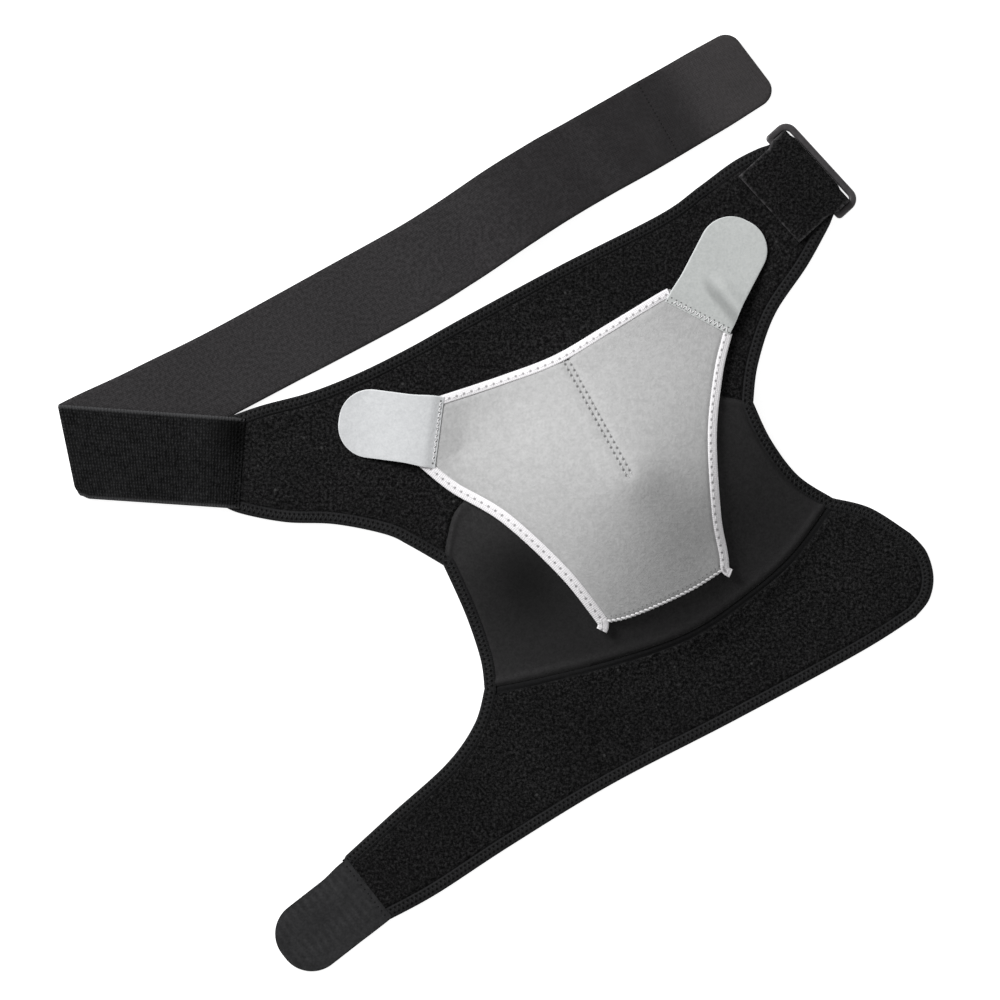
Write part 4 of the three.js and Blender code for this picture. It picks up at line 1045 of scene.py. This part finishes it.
# Painted shade by the sewn end and after the hump, and a paler end: each from a distance along
# the strap and over a length
strapTone = {"sewn": (6, 20), "sewnShadeParts": (0.25, 0.9), "humpShade": (345, 60), "humpShadeMore": (430, 20),
             "humpShadeEnd": (482, 20), "humpShadeParts": (0.5, 0.75), "pale": (480, 34), "palePart": 0.36}
rollRadius = (strap["thickness"] + plan["gap"]) / 2
foldLine = Place(returning.origin, foldDegrees)
foldSlant = math.radians(strapEnd.degrees - foldDegrees)
foldShear = 1 / math.tan(foldSlant)
returnDense = evenRun(returning.scaled(strapRun, strap["returnLength"], strap["width"]), 1500)
returnAlong, returnLeft = headings(returnDense)


def strapProfile(share, column):
    # The strap run's column at any share, passing smoothly from row to row
    row = np.clip(np.searchsorted(strapRun[:, 0], share), 1, len(strapRun) - 1)
    a, b = strapRun[row - 1], strapRun[row]
    return mix(a[..., column], b[..., column], rise((share - a[..., 0]) / (b[..., 0] - a[..., 0])))


def halfWidth(half, radius, fromEnd):
    # Half width near a round end: a quarter circle of the radius joins the side to the end
    into = np.clip(radius - fromEnd, 0, radius)
    return half - radius + np.sqrt(radius**2 - into**2)


def ribbedRows(share, side):
    # The ribbed leg: on the band at its sewn end, then down to the returning leg's face; its rows
    # lean more and more towards the slant of the fold
    along = strap["ribbedLength"] * share
    across = -side * strap["width"] / 2 * mix(strap["widening"], strapRun[0, 2], share)
    places = ribbed.at(along - share * foldShear * across, across)
    onBand = lie(places) + plan["bandThickness"] + 2 * plan["gap"]
    settled = risen(along - strap["overlap"], *strapLook["settle"])
    height = mix(onBand, strap["thickness"] + plan["gap"], settled)
    return raised(places, height), raised(places, height + strap["thickness"])


def foldRows(angle, side):
    # The fold: a half turn about the slanting fold line, which also slides each row along it
    half = strap["width"] / 2 * strapRun[0, 2] / math.sin(foldSlant)
    slide = angle * rollRadius * foldShear

    def layer(radius):
        places = foldLine.at(side * half + slide, radius * np.sin(angle))
        return raised(places, strap["thickness"] / 2 + rollRadius + radius * np.cos(angle))

    return layer(rollRadius - strap["thickness"] / 2), layer(rollRadius + strap["thickness"] / 2)


def returnPlaces(share, side):
    # The returning leg: a place on its centre run and half the width to the side, leaning as the
    # fold line does at first, with the fold's slide fading out, and a slightly skew end
    spot = share * (len(returnDense) - 1)
    number = np.arange(len(returnDense))
    centre, along, left = (np.stack([np.interp(spot, number, table[:, k]) for k in (0, 1)], axis=-1)
                           for table in (returnDense, returnAlong, returnLeft))
    full = strap["width"] / 2 * strapProfile(share, 2)
    half = halfWidth(full, strap["corner"], strap["returnLength"] * (1 - share))
    slant = (1 - rise(share * strap["returnLength"] / strap["width"])) * foldShear * side * half
    longer, skew = strapLook["skewEnd"]
    slant = slant + (longer + skew * side) * risen(share, 0.93, 0.07)
    slide = foldLine.alongAxis * math.pi * rollRadius * foldShear
    fade = 1 - rise(share / strap["foldSettling"])
    return centre + along * slant[..., None] + left * (side * half)[..., None] + slide * fade[..., None]


def returnRows(share, side):
    # Its height: the soft hump of the run's own lift, and a rise over the hook patch
    places = returnPlaces(share, side)
    before = strap["returnLength"] * (1 - share) - strap["patchLength"]
    overPatch = (strap["patchThickness"] + plan["gap"]) * (1 - risen(before, *strapLook["overPatch"]))
    height = strap["wave"] * strapProfile(share, 3) + overPatch
    return raised(places, height + strap["thickness"]), raised(places, height)


def strapGrids():
    # The three parts in one pair of grids, with the length along the strap at each row
    side = np.linspace(-1, 1, strapLook["across"] + 1)[None]
    ribShare = np.linspace(0, 1, round(strap["ribbedLength"] / strapLook["ribStep"]) + 1)[:, None]
    angle = np.linspace(0, math.pi, 12)[1:-1, None]
    body = strap["returnLength"] - strap["corner"]
    distance = np.concatenate([np.linspace(0, body, round(body / strapLook["returnStep"]))[:-1],
                               body + strap["corner"] * np.sin(np.linspace(0, math.pi / 2, 9))])
    backShare = (distance / strap["returnLength"])[:, None]
    inner, outer = zip(ribbedRows(ribShare, side), foldRows(angle, side), returnRows(backShare, side))
    fold = strap["ribbedLength"] + rollRadius * angle[:, 0]
    u = np.concatenate([ribShare[:, 0] * strap["ribbedLength"], fold, fold[-1] + distance + 0.3])
    return np.vstack(inner), np.vstack(outer), u, side, len(ribShare)


def strapPiece():
    # Ribs across the leg that shows its outer face, both long edges rounded off, and the sewn end
    # pressed down by its stitches. The ribbed face takes one finish and the plain face another
    inner, outer, u, side, ribRows = strapGrids()
    fromSewn = u[:, None] + 0 * side
    ribs = strapLook["ribHeight"] * np.sin(2 * math.pi * u / strapLook["ribPitch"])
    ribs = np.where(np.arange(len(u)) < ribRows, ribs, 0)[:, None]
    away = outer - inner
    away = away / np.linalg.norm(away, axis=-1, keepdims=True)
    edge = (1 - np.abs(side)) * strap["width"] / 2
    roundOff = strapLook["rounding"] * rounding(edge, strapLook["roundReach"])
    calm = np.clip(edge / 3, 0, 1) * risen(fromSewn, 1, 5)
    pressed = strapLook["sewnDepth"] * (1 - risen(fromSewn, 0.5, strapLook["sewnReach"]))
    outer = outer + away * (ribs * calm - roundOff - pressed)[..., None]
    inner = inner + away * roundOff[..., None]
    inner[..., 2] -= strapLook["sink"] * (1 - rise(fromSewn / strapLook["sinkReach"]))
    for layer in (inner, outer):  # the fold's lower corner is blunt
        far = np.linalg.norm(layer[..., :2] - photoPlace(*strapLook["foldCorner"]), axis=-1)
        cut = strapLook["cornerCut"] * (1 - rise(far / strapLook["cornerReach"]))
        layer[..., :2] += np.array(strapLook["cornerIn"]) * cut[..., None]
    cords = side * strap["width"] / 2
    spots = np.stack(np.broadcast_arrays(fromSewn, cords), axis=-1)
    # Painted shade: darker by the sewn end, most on its upper side, and over the stretch after the hump,
    # where the strap tilts away from the light
    sewn = mix(*strapTone["sewnShadeParts"], risen(side, -0.2, 0.8)) * (1 - risen(fromSewn, *strapTone["sewn"]))
    humpShade = mix(*strapTone["humpShadeParts"], risen(fromSewn, *strapTone["humpShadeMore"]))
    humpShade = humpShade * risen(fromSewn, *strapTone["humpShade"]) * (1 - risen(fromSewn, *strapTone["humpShadeEnd"]))
    darker = np.maximum(sewn, humpShade) * (0.8 + 0.2 * speckle(spots, 6, 51))
    paler = risen(fromSewn, *strapTone["pale"]) * (0.85 + 0.15 * speckle(spots, 9, 52))
    piece = sheetMesh("strap_web", inner, outer, {"cloth": (fromSewn, cords)},
                      {"fromEdge": edge, "darker": darker, "paler": strapTone["palePart"] * paler})
    piece.data.materials.append(finishes["ribbed"])
    piece.data.materials.append(finishes["plain"])
    upperFaces = (outer.shape[0] - 1) * (outer.shape[1] - 1)
    kinds = np.arange(len(piece.data.polygons)) >= upperFaces
    piece.data.polygons.foreach_set("material_index", kinds.astype(np.int32))
    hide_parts("elastic_strap")


strapPiece()
print("strap made")


keeperFold = {"columns": (1, 0.99, 0.97, 0.945, 0.91), "evenColumns": 60, "rows": 110, "out": 1.75,
              "full": 0.96, "fullFrom": -18.0, "fullTo": 21.5, "fullRamp": 4, "widening": 0.072,
              "pile": 0.16, "pileCells": (1.7, 1.2), "rounding": 0.5, "roundReach": 1.5, "fray": 0.7}


def keeperRows(distance, reach):
    # The folded strip's inside and outside at distances along it: straight, half a circle at the
    # given reach, and straight back
    inside = keeperInside / 2
    outside = inside + keeper["thickness"]
    flat = keeper["sewn"] + reach - outside
    arc = math.pi * (inside + outside) / 2
    angle = np.clip((distance - flat) / arc, 0, 1) * math.pi
    back = np.maximum(distance - flat - arc, 0)
    x = np.minimum(distance, flat) - keeper["sewn"] - back
    inner, outer = (np.stack([x + radius * np.sin(angle), outside - radius * np.cos(angle)], axis=-1)
                    for radius in (inside, outside))
    return inner, outer, 2 * flat + arc


def keeperPiece():
    # The fold nearly fills the ring's slot in its middle and draws back at both ends; the two cut
    # edges and the sewn end of the upper layer are rounded off
    half = strap["width"] / 2
    side = crowded(keeperFold["columns"], keeperFold["evenColumns"])
    across = side * (half - 0.05)
    full = rise((across - keeperFold["fullFrom"]) / keeperFold["fullRamp"])
    full = full * rise((keeperFold["fullTo"] - across) / keeperFold["fullRamp"])
    reach = keeper["loop"] + keeperFold["out"] + keeperFold["full"] * full
    total = keeperRows(np.zeros((1, 1)), reach)[2]
    distance = np.linspace(0, 1, keeperFold["rows"])[:, None] * total
    inside, outside, _ = keeperRows(distance, reach)
    fromSide, fromEnd = (1 - np.abs(side)) * half, total - distance
    edge = np.minimum(fromSide, fromEnd + 0.4)
    roundOff = keeperFold["rounding"] * rounding(edge, keeperFold["roundReach"])

    def grid(layer):
        wider = 1 + keeperFold["widening"] * risen(layer[..., 0], -3, 5)
        return raised(ringPlace.at(layer[..., 0], across * wider), layer[..., 1])

    inner, outer = grid(inside), grid(outside)
    away = (outer - inner) / keeper["thickness"]
    spots = np.stack(np.broadcast_arrays(distance, across), axis=-1)
    broad, fine = (speckle(spots, cell, seed) for cell, seed in zip(keeperFold["pileCells"], (31, 32)))
    pile = keeperFold["pile"] * (0.6 * broad + 0.4 * fine) * np.clip(edge / 2, 0, 1)
    cut = np.minimum(fromSide, fromEnd + 0.5) + keeperFold["fray"] * (0.5 + speckle(spots, 2.3, 33))
    inSlot = risen(inside[..., 0], 8, 2)
    outer = outer + away * (pile * (1 - inSlot) - roundOff)[..., None]
    inner = inner + away * (roundOff * 0.5)[..., None]
    outer[..., 2] -= 0.35 * (1 - rise(fromEnd / 4))
    piece = sheetMesh("keeper_fold", inner, outer, {"cloth": (distance, across)},
                      {"fromEdge": cut, "piled": 1.0})
    setFinish(piece, finishes["keeperPile"], "keeper_strap", "strap_keeper")


keeperPiece()


def ringPiece():
    # The bar's section is a superellipse, carried round a rectangle whose corners are quarter
    # circles, then tilted about its inner bar until the outer bar rests on the table
    barHalf, power = ring["shownBar"] / 2, 2 / ring["sectionPower"]
    half = (strap["width"] + ring["slack"] + ring["bar"]) / 2 + ring["moreWidth"]
    reach = ringReach + ring["moreReach"]
    outerCorner, innerCorner = ring["outerCorner"], ring["innerCorner"]
    radius = np.array([outerCorner, innerCorner, innerCorner, outerCorner]) - barHalf
    turns = np.linspace(0, math.pi / 2, ring["inCorner"])[None] + np.arange(4)[:, None] * math.pi / 2
    toRight, toTop = np.array([1, -1, -1, 1]), np.array([1, 1, -1, -1])
    centre = np.stack([np.where(toRight > 0, reach - radius, radius), toTop * (half - radius)], axis=1)
    normal = np.stack([np.cos(turns), np.sin(turns)], axis=-1)
    path = (centre[:, None] + radius[:, None, None] * normal).reshape(-1, 2)
    turn = np.linspace(0, 2 * math.pi, ring["aroundBar"], endpoint=False)
    out = np.sign(np.cos(turn)) * np.abs(np.cos(turn)) ** power * barHalf
    up = np.sign(np.sin(turn)) * np.abs(np.sin(turn)) ** power * ring["thickness"] / 2
    plane = path[:, None] + normal.reshape(-1, 1, 2) * out[None, :, None]
    edgeReach = reach + barHalf - ring["bevel"]
    toAxis = math.asin(ringAxisHeight / math.hypot(edgeReach, ring["thickness"] / 2))
    droop = toAxis - math.atan2(ring["thickness"] / 2, edgeReach)
    along = plane[..., 0] * math.cos(droop) + up[None] * math.sin(droop)
    z = ringAxisHeight - plane[..., 0] * math.sin(droop) + up[None] * math.cos(droop)
    points = raised(ringPlace.at(along + ringAxisAlong, plane[..., 1]), z).reshape(-1, 3)
    number = np.arange(along.size).reshape(along.shape)
    onward, ahead = np.roll(number, -1, axis=1), np.roll(number, -1, axis=0)
    faces = np.stack([number, onward, np.roll(onward, -1, axis=0), ahead], axis=-1).reshape(-1, 4)
    p, q, r, s = (points[faces[:, k]] - points.mean(axis=0) for k in range(4))
    if (np.cross(p, q) * r + np.cross(p, r) * s).sum() < 0:
        faces = faces[:, ::-1]
    piece = addMesh("ring_frame", points, [faces], body="ring", sharp=80)
    setFinish(piece, finishes["plastic"], "ring_plastic", "strap_ring")


ringPiece()
print("keeper and ring made")


pad = {"width": 188.0, "height": 160.0, "thickness": 3.0, "standoff": 0.8,
       "cells": {"top": 150, "bottom": 150, "left": 100, "right": 100}, "cornerCells": 26,
       "tuck": 0.8, "tuckReach": 4, "underPinch": 0.58, "topPinch": 0.62, "hem": 1.0, "hemUnder": 0.5,
       "hemReach": 3, "swell": 0.2, "swellCell": 30, "dart": ((564, 357), (628, 476)), "dartDepth": 0.9,
       "dartReach": 3.4, "tapes": {"top": 5.2, "left": 6.2, "right": 5.0}, "tapeCrown": 0.25,
       "tail": 1.5, "tailTurn": 1.8}
padStitch = {"row": 3.2, "pitch": 4.3, "gap": 1.5, "above": 0.12, "radius": 0.24, "bow": 0.12}
hemBead = {"trim": (1.5, 1.2), "half": 1.5, "insets": (1.5, 0.1), "above": (-0.55, -1.0),
           "radius": 0.72, "bow": 0.35, "sides": 8}
dartStitch = {"gap": 1.5, "above": 0.02, "radius": 0.34, "bow": 0.18, "knotAcross": 1.2,
              "knotStep": (2.2, 0.8)}
curl = {"place": (602.5, 626.5), "radius": 1.7, "turns": (2.6, -2.4), "heights": (1.2, 0.4),
        "stations": 15, "thread": 0.2}


def padGround(points):
    # Underside of the pad: the panels' upper face and a small gap
    return lie(points) + plan["bandThickness"] + pad["standoff"]


padRuns = {name: evenRun(dome.scaled(rows, pad["width"], pad["height"]), pad["cells"][name])
           for name, rows in padEdges.items()}
padRim = {"top": padRuns["top"][::-1], "left": padRuns["left"], "right": padRuns["right"][::-1]}
dart = placeBetween(*(photoPlace(*spot) for spot in pad["dart"]))
dartLength = np.linalg.norm(np.diff([photoPlace(*spot) for spot in pad["dart"]], axis=0))


def tailed(run, inward):
    # A run whose last end goes on past the pad's corner and turns outward a little
    along, left = headings(run)
    tail = np.linspace(0, 1, 5)[1:, None]
    outward = left[-1] * inward * pad["tailTurn"] * tail**2
    return np.vstack([run, run[-1] + along[-1] * pad["tail"] * tail - outward])


tapedRim = {"top": padRim["top"][2:], "left": tailed(padRim["left"], 1),
            "right": tailed(padRim["right"][::-1], -1)[::-1]}


def padPiece():
    # The pad between its four edges: pinched under its tapes, a shallow valley along the dart, and
    # a lower edge that rounds down. Its maps run along the dart and along the lower hem
    top, bottom, left, right = (padRuns[name] for name in ("top", "bottom", "left", "right"))
    grid = stretched(top, bottom, joined(straight(top[0], left[0], pad["cornerCells"]), left),
                     joined(straight(top[-1], right[0], pad["cornerCells"]), right))
    fromRim, index = nearest(grid, np.vstack([*padRim.values()]))
    inward = np.vstack([headings(run)[1] for run in padRim.values()])
    places = grid + inward[index] * (pad["tuck"] * (1 - rise(fromRim / pad["tuckReach"])))[..., None]
    ground = padGround(places)
    inTape = np.max([1 - risen(nearest(grid, padRim[side])[0], width - 0.4, 2.0)
                     for side, width in pad["tapes"].items()], axis=0)
    alongDart, acrossDart = dart.local(places)
    away = np.hypot(acrossDart, alongDart - np.clip(alongDart, 0, dartLength))
    fromBottom, atBottom = nearest(grid, bottom)
    rolled = (1 - rise(fromBottom / pad["hemReach"])) ** 2
    under = ground + pad["underPinch"] * inTape + pad["hemUnder"] * rolled
    over = ground + pad["thickness"] - pad["topPinch"] * inTape - pad["hem"] * rolled
    over += pad["swell"] * speckle(places, pad["swellCell"], 41)
    over -= pad["dartDepth"] * bell(away, pad["dartReach"])
    hemLength = runLength(bottom) * atBottom / (len(bottom) - 1)
    piece = sheetMesh("pad_sheet", raised(places, under), raised(places, over),
                      {"dart": (alongDart, acrossDart), "hem": (hemLength, fromBottom)})
    setFinish(piece, finishes["padKnit"], "pad_neoprene", "pressure_pad")


def onPad(places, above):
    # Places set above the pad's face
    return raised(places, padGround(places) + pad["thickness"] + above)


def padStitches(name, run):
    # One row of threads along a pad tape: each a pitch long, less the gap between two
    pitch, gap = padStitch["pitch"], padStitch["gap"]
    u = pitch / 2 + np.arange(0, runLength(run) - 1.5 * pitch, pitch)
    starts, ends = (onPad(alongRun(run, u + shift, padStitch["row"]), padStitch["above"])
                    for shift in (gap / 2, pitch - gap / 2))
    threads(name, starts, ends, padStitch["radius"], padStitch["bow"], "whiteThread", "pad_tape")


def hemBeads():
    # Overlock stitches over the pad's lower edge: at each pitch a thick thread that slants from
    # just inside the edge down over it, the next one beginning beside it
    run, (first, last) = padRuns["bottom"], hemBead["trim"]
    u = np.arange(first, runLength(run) - last, padLook["hemPitch"] * 1000)
    starts, ends = (onPad(alongRun(run, u + shift, inset), above) for shift, inset, above in zip(
        (-hemBead["half"], hemBead["half"]), hemBead["insets"], hemBead["above"]))
    threads("hem_beads", starts, ends, hemBead["radius"], hemBead["bow"], "whiteThread", "pad_tape",
            hemBead["sides"])


def dartStitches():
    # The dart's two rows: a short thread between each pair of needle holes, and a knot at the end
    line, left = dart.alongAxis, dart.acrossAxis
    pitch, row = padLook["dartPitch"] * 1000, padLook["dartRow"] * 1000
    u = np.arange(pitch, dartLength - 1, pitch)
    starts, ends = (dart.at(u + half * (pitch - dartStitch["gap"]), np.full(u.shape, -row))
                    for half in (-0.5, 0.5))
    across = left * 2 * row + line * pitch / 2
    knot = dart.at(np.full(2, dartLength), [dartStitch["knotAcross"], -dartStitch["knotAcross"]])
    onward, aside = dartStitch["knotStep"]
    starts = np.vstack([starts, starts + across, knot])
    ends = np.vstack([ends, ends + across, knot + line * onward + left * aside])
    starts, ends = (onPad(places, dartStitch["above"] - pad["dartDepth"]) for places in (starts, ends))
    threads("dart_stitches", starts, ends, dartStitch["radius"], dartStitch["bow"], "greyThread",
            "pad_neoprene")


def threadCurl():
    # A loose thread end at the pad's lower left corner: most of a circle in short links
    turn = np.linspace(*curl["turns"], curl["stations"])
    circle = np.stack([np.cos(turn), np.sin(turn)], axis=1)
    places = photoPlace(*curl["place"]) + curl["radius"] * circle
    points = raised(places, padGround(places) + np.linspace(*curl["heights"], curl["stations"]))
    threads("thread_curl", points[:-1], points[1:], curl["thread"], 0.0, "greyThread", "pad_tape")


padPiece()
for side, width in pad["tapes"].items():
    piece = tapePiece("pad_tape_" + side, tapedRim[side], width, pad["thickness"], padGround,
                      pad["tapeCrown"])
    setFinish(piece, finishes["padTape"], "pad_tape", "pad_binding_" + side)
    padStitches("pad_stitch_" + side, tapedRim[side])
hemBeads()
threadCurl()
dartStitches()
print("pad made")


tabs = {
    "thickness": 1.3, "sewnThickness": 0.5, "overlap": 6.0, "drop": 12.0, "roundness": 0.92,
    "rounding": 0.25, "roundReach": 0.8, "columns": (1, 0.985, 0.96, 0.925, 0.88), "evenColumns": 36,
    "ridge": 0.18, "ridgePitch": 4.5, "crease": ((704, 280), (734, 316)),
    "stitch": {"above": 0.62, "radius": 0.27, "bow": 0.15},
    "left": {"length": 56.35, "width": 38.0, "turn": 146.5, "shift": (0.0, 0.0), "flare": (0.055, 0.055),
             "rows": (0.9, 2.0), "pitch": 3.0, "reach": 17.0},
    "right": {"length": 60.78, "width": 38.0, "turn": 36.5, "shift": (1.4, 0.2), "flare": (0.055, 0.055),
              "rows": (0.8, 3.4), "pitch": 2.8, "reach": 18.0},
    "arm": {"length": 61.0, "width": 40.0, "turn": 189.0, "flare": (0.07, 0.0)},
}
creased = {"length": 15, "depth": 2.2, "reach": 2.1, "swell": 0.9, "swellAt": 5.5, "swellReach": 3.4,
           "lowest": -0.9, "shade": 0.62, "shadeReach": 3.0}


def tabPiece(name, tab, frameOf, ground, shape, finish, slotName, node):
    # A strip with a round end: rows along it, crowded towards the end, and columns across it,
    # crowded towards both cut edges. The sewn end is thin and flares, and the cut edge rounds down
    half = tab["width"] / 2
    radius = half * tabs["roundness"]
    body = tab["length"] - radius
    along = np.concatenate([np.linspace(0, body, round(body))[:-1],
                            body + radius * np.sin(np.linspace(0, math.pi / 2, 26))])[:, None]
    side = crowded(tabs["columns"], tabs["evenColumns"])
    halfHere = halfWidth(half, radius, tab["length"] - along)
    across = side * halfHere
    along = np.broadcast_to(along, across.shape)
    flaring = np.where(side < 0, *tab["flare"]) * (1 - risen(along, 4, 16))
    places = frameOf.at(along, across * (1 + flaring))
    edge = np.minimum((1 - np.abs(side)) * halfHere, tab["length"] - along)
    roundOff = tabs["rounding"] * rounding(edge, tabs["roundReach"])
    base = ground(places, along)
    lift, darker = shape(places, along, across) if shape else (0, 0.0)
    thickness = mix(tabs["sewnThickness"], tabs["thickness"], rise(along / 7))
    under = raised(places, base + roundOff * 0.6 + np.minimum(lift, 0) * 0.3)
    over = raised(places, base + thickness + lift - roundOff)
    piece = sheetMesh(name, under, over, {"cloth": (along, across)}, {"fromEdge": edge, "darker": darker})
    setFinish(piece, finishes[finish], slotName, node)


def padTabGround(places, along):
    # On the pad's face where it is sewn, sinking slowly to the band beyond the pad's edge
    onPadFace = pad["thickness"] + mix(0.06, 0.5, rise(along / 6))
    down = risen(along, tabs["overlap"], 44)
    return padGround(places) + onPadFace * (1 - down) - 0.5 * down


def armTabGround(_, along):
    # On the band's face where it is sewn, sinking to the table beyond the band's end
    return (plan["bandThickness"] + 0.1) * (1 - risen(along, 2 * tabs["overlap"], tabs["drop"]))


def padTabFrame(a, b, tab):
    # A tab's frame: the middle of the pad's short edge, turned, moved in by the overlap and shifted
    edge = Place((a + b) / 2, dome.degrees + tab["turn"])
    along, across = tab["shift"]
    return Place(edge.at(along - tabs["overlap"], across), edge.degrees)


def crease(places, *_):
    # A slanting fold in the right tab, a bell-shaped groove that deepens towards the tab's edge,
    # with a low swell beside it, and painted shade along the groove
    run, off = placeBetween(*(photoPlace(*spot) for spot in tabs["crease"])).local(places)
    swell = creased["swell"] * bell(off - creased["swellAt"], creased["swellReach"])
    lift = rise(run / creased["length"]) * (swell - creased["depth"] * bell(off, creased["reach"]))
    shade = creased["shade"] * rise(run / creased["length"]) * bell(off, creased["shadeReach"])
    return np.maximum(lift, creased["lowest"]), shade


def ridges(_, along, across):
    # Ridges across the arm tab: a sine of the ridge pitch that fades at its sewn end and sides
    fade = risen(along, 6, 8) * rise((19 - np.abs(across)) / 3)
    sewn = 0.25 * (1 - rise(along / 3))
    return tabs["ridge"] * np.sin(2 * math.pi * along / tabs["ridgePitch"]) * fade, sewn


def tabStitches(name, tab, frameOf):
    # Zigzag over a tab's sewn end, between two rows at the tab's distances from that end
    pitch, (first, second), stitch = tab["pitch"], tab["rows"], tabs["stitch"]
    u = np.arange(-tab["reach"], tab["reach"] - pitch, pitch)

    def row(distance, shift):
        along = np.full(u.shape, distance)
        places = frameOf.at(along, u + shift)
        return raised(places, padTabGround(places, along) + stitch["above"])

    zigzag(name, row(first, 0), row(second, pitch / 2), row(first, pitch), stitch["radius"],
           stitch["bow"], "whiteThread", "pad_tab")


leftFrame = padTabFrame(padRuns["top"][0], padRuns["left"][0], tabs["left"])
rightFrame = padTabFrame(padRuns["top"][-1], padRuns["right"][0], tabs["right"])
armFrame = Place(arm.origin, arm.degrees + tabs["arm"]["turn"])
tabPiece("pad_tab_left_cloth", tabs["left"], leftFrame, padTabGround, None, "leftTab", "pad_tab",
         "pad_tab_left")
tabPiece("pad_tab_right_cloth", tabs["right"], rightFrame, padTabGround, crease, "rightTab", "pad_tab",
         "pad_tab_right")
tabPiece("arm_tab_cloth", tabs["arm"], armFrame, armTabGround, ridges, "armTab", "arm_hook", "arm_tab")
tabStitches("left_tab_stitches", tabs["left"], leftFrame)
tabStitches("right_tab_stitches", tabs["right"], rightFrame)
print("tabs made")

# The hook patch stays the frame's own mesh, with its finish
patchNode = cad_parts["strap_hook_patch"]
patchNode.data.materials.clear()
patchNode.data.materials.append(finishes["hook"])


stage = {"floor": (0.62, 0.62, 0.62), "floorGlow": 0.86, "floorHalf": 4.0, "floorHeight": -0.0004,
         "world": 0.26, "lens": 200.0, "sensor": 36.0, "farClip": 100.0, "viewWidth": 0.5556,
         "viewCentre": (0.0025, 0.0019),
         "lamps": {"key": ((-1.45, 1.2, 1.3), 66.0, 1.1), "fill": ((1.6, -1.2, 1.9), 5.0, 2.2)}}


def makeFloor():
    # A white light table: a flat plane that is pale and glows a little
    mesh = bpy.data.meshes.new("floor")
    corners = [(x * stage["floorHalf"], y * stage["floorHalf"], stage["floorHeight"])
               for x, y in ((-1, -1), (1, -1), (1, 1), (-1, 1))]
    mesh.from_pydata(corners, [], [(0, 1, 2, 3)])
    floor = bpy.data.objects.new("floor", mesh)
    bpy.context.scene.collection.objects.link(floor)
    material = startMaterial("pale_floor", 0.9, 0.1)[0]
    shader = material.node_tree.nodes["Principled BSDF"]
    shader.inputs["Base Color"].default_value = (*stage["floor"], 1)
    shader.inputs["Emission Color"].default_value = (1, 1, 1, 1)
    shader.inputs["Emission Strength"].default_value = stage["floorGlow"]
    mesh.materials.append(material)


def makeLamp(name, place, power, size):
    # A round soft lamp that faces the middle of the table
    lamp = bpy.data.lights.new(name, "AREA")
    lamp.energy = power
    lamp.shape = "DISK"
    lamp.size = size
    holder = bpy.data.objects.new(name, lamp)
    holder.location = place
    holder.rotation_mode = "QUATERNION"
    holder.rotation_quaternion = (-holder.location).to_track_quat("-Z", "Y")
    bpy.context.scene.collection.objects.link(holder)


makeFloor()
for name, settings in stage["lamps"].items():
    makeLamp(name, *settings)
world = bpy.data.worlds.new("studio")
bpy.context.scene.world = world
world.use_nodes = True
world.node_tree.nodes["Background"].inputs["Color"].default_value = (1, 1, 1, 1)
world.node_tree.nodes["Background"].inputs["Strength"].default_value = stage["world"]
camera = bpy.data.cameras.new("view")
camera.lens = stage["lens"]
camera.sensor_width = stage["sensor"]
camera.clip_end = stage["farClip"]
eye = bpy.data.objects.new("view", camera)
eye.location = (*stage["viewCentre"], stage["viewWidth"] * stage["lens"] / stage["sensor"])
bpy.context.scene.collection.objects.link(eye)
bpy.context.scene.camera = eye
bpy.context.scene.view_settings.view_transform = "Standard"
print("stage set")
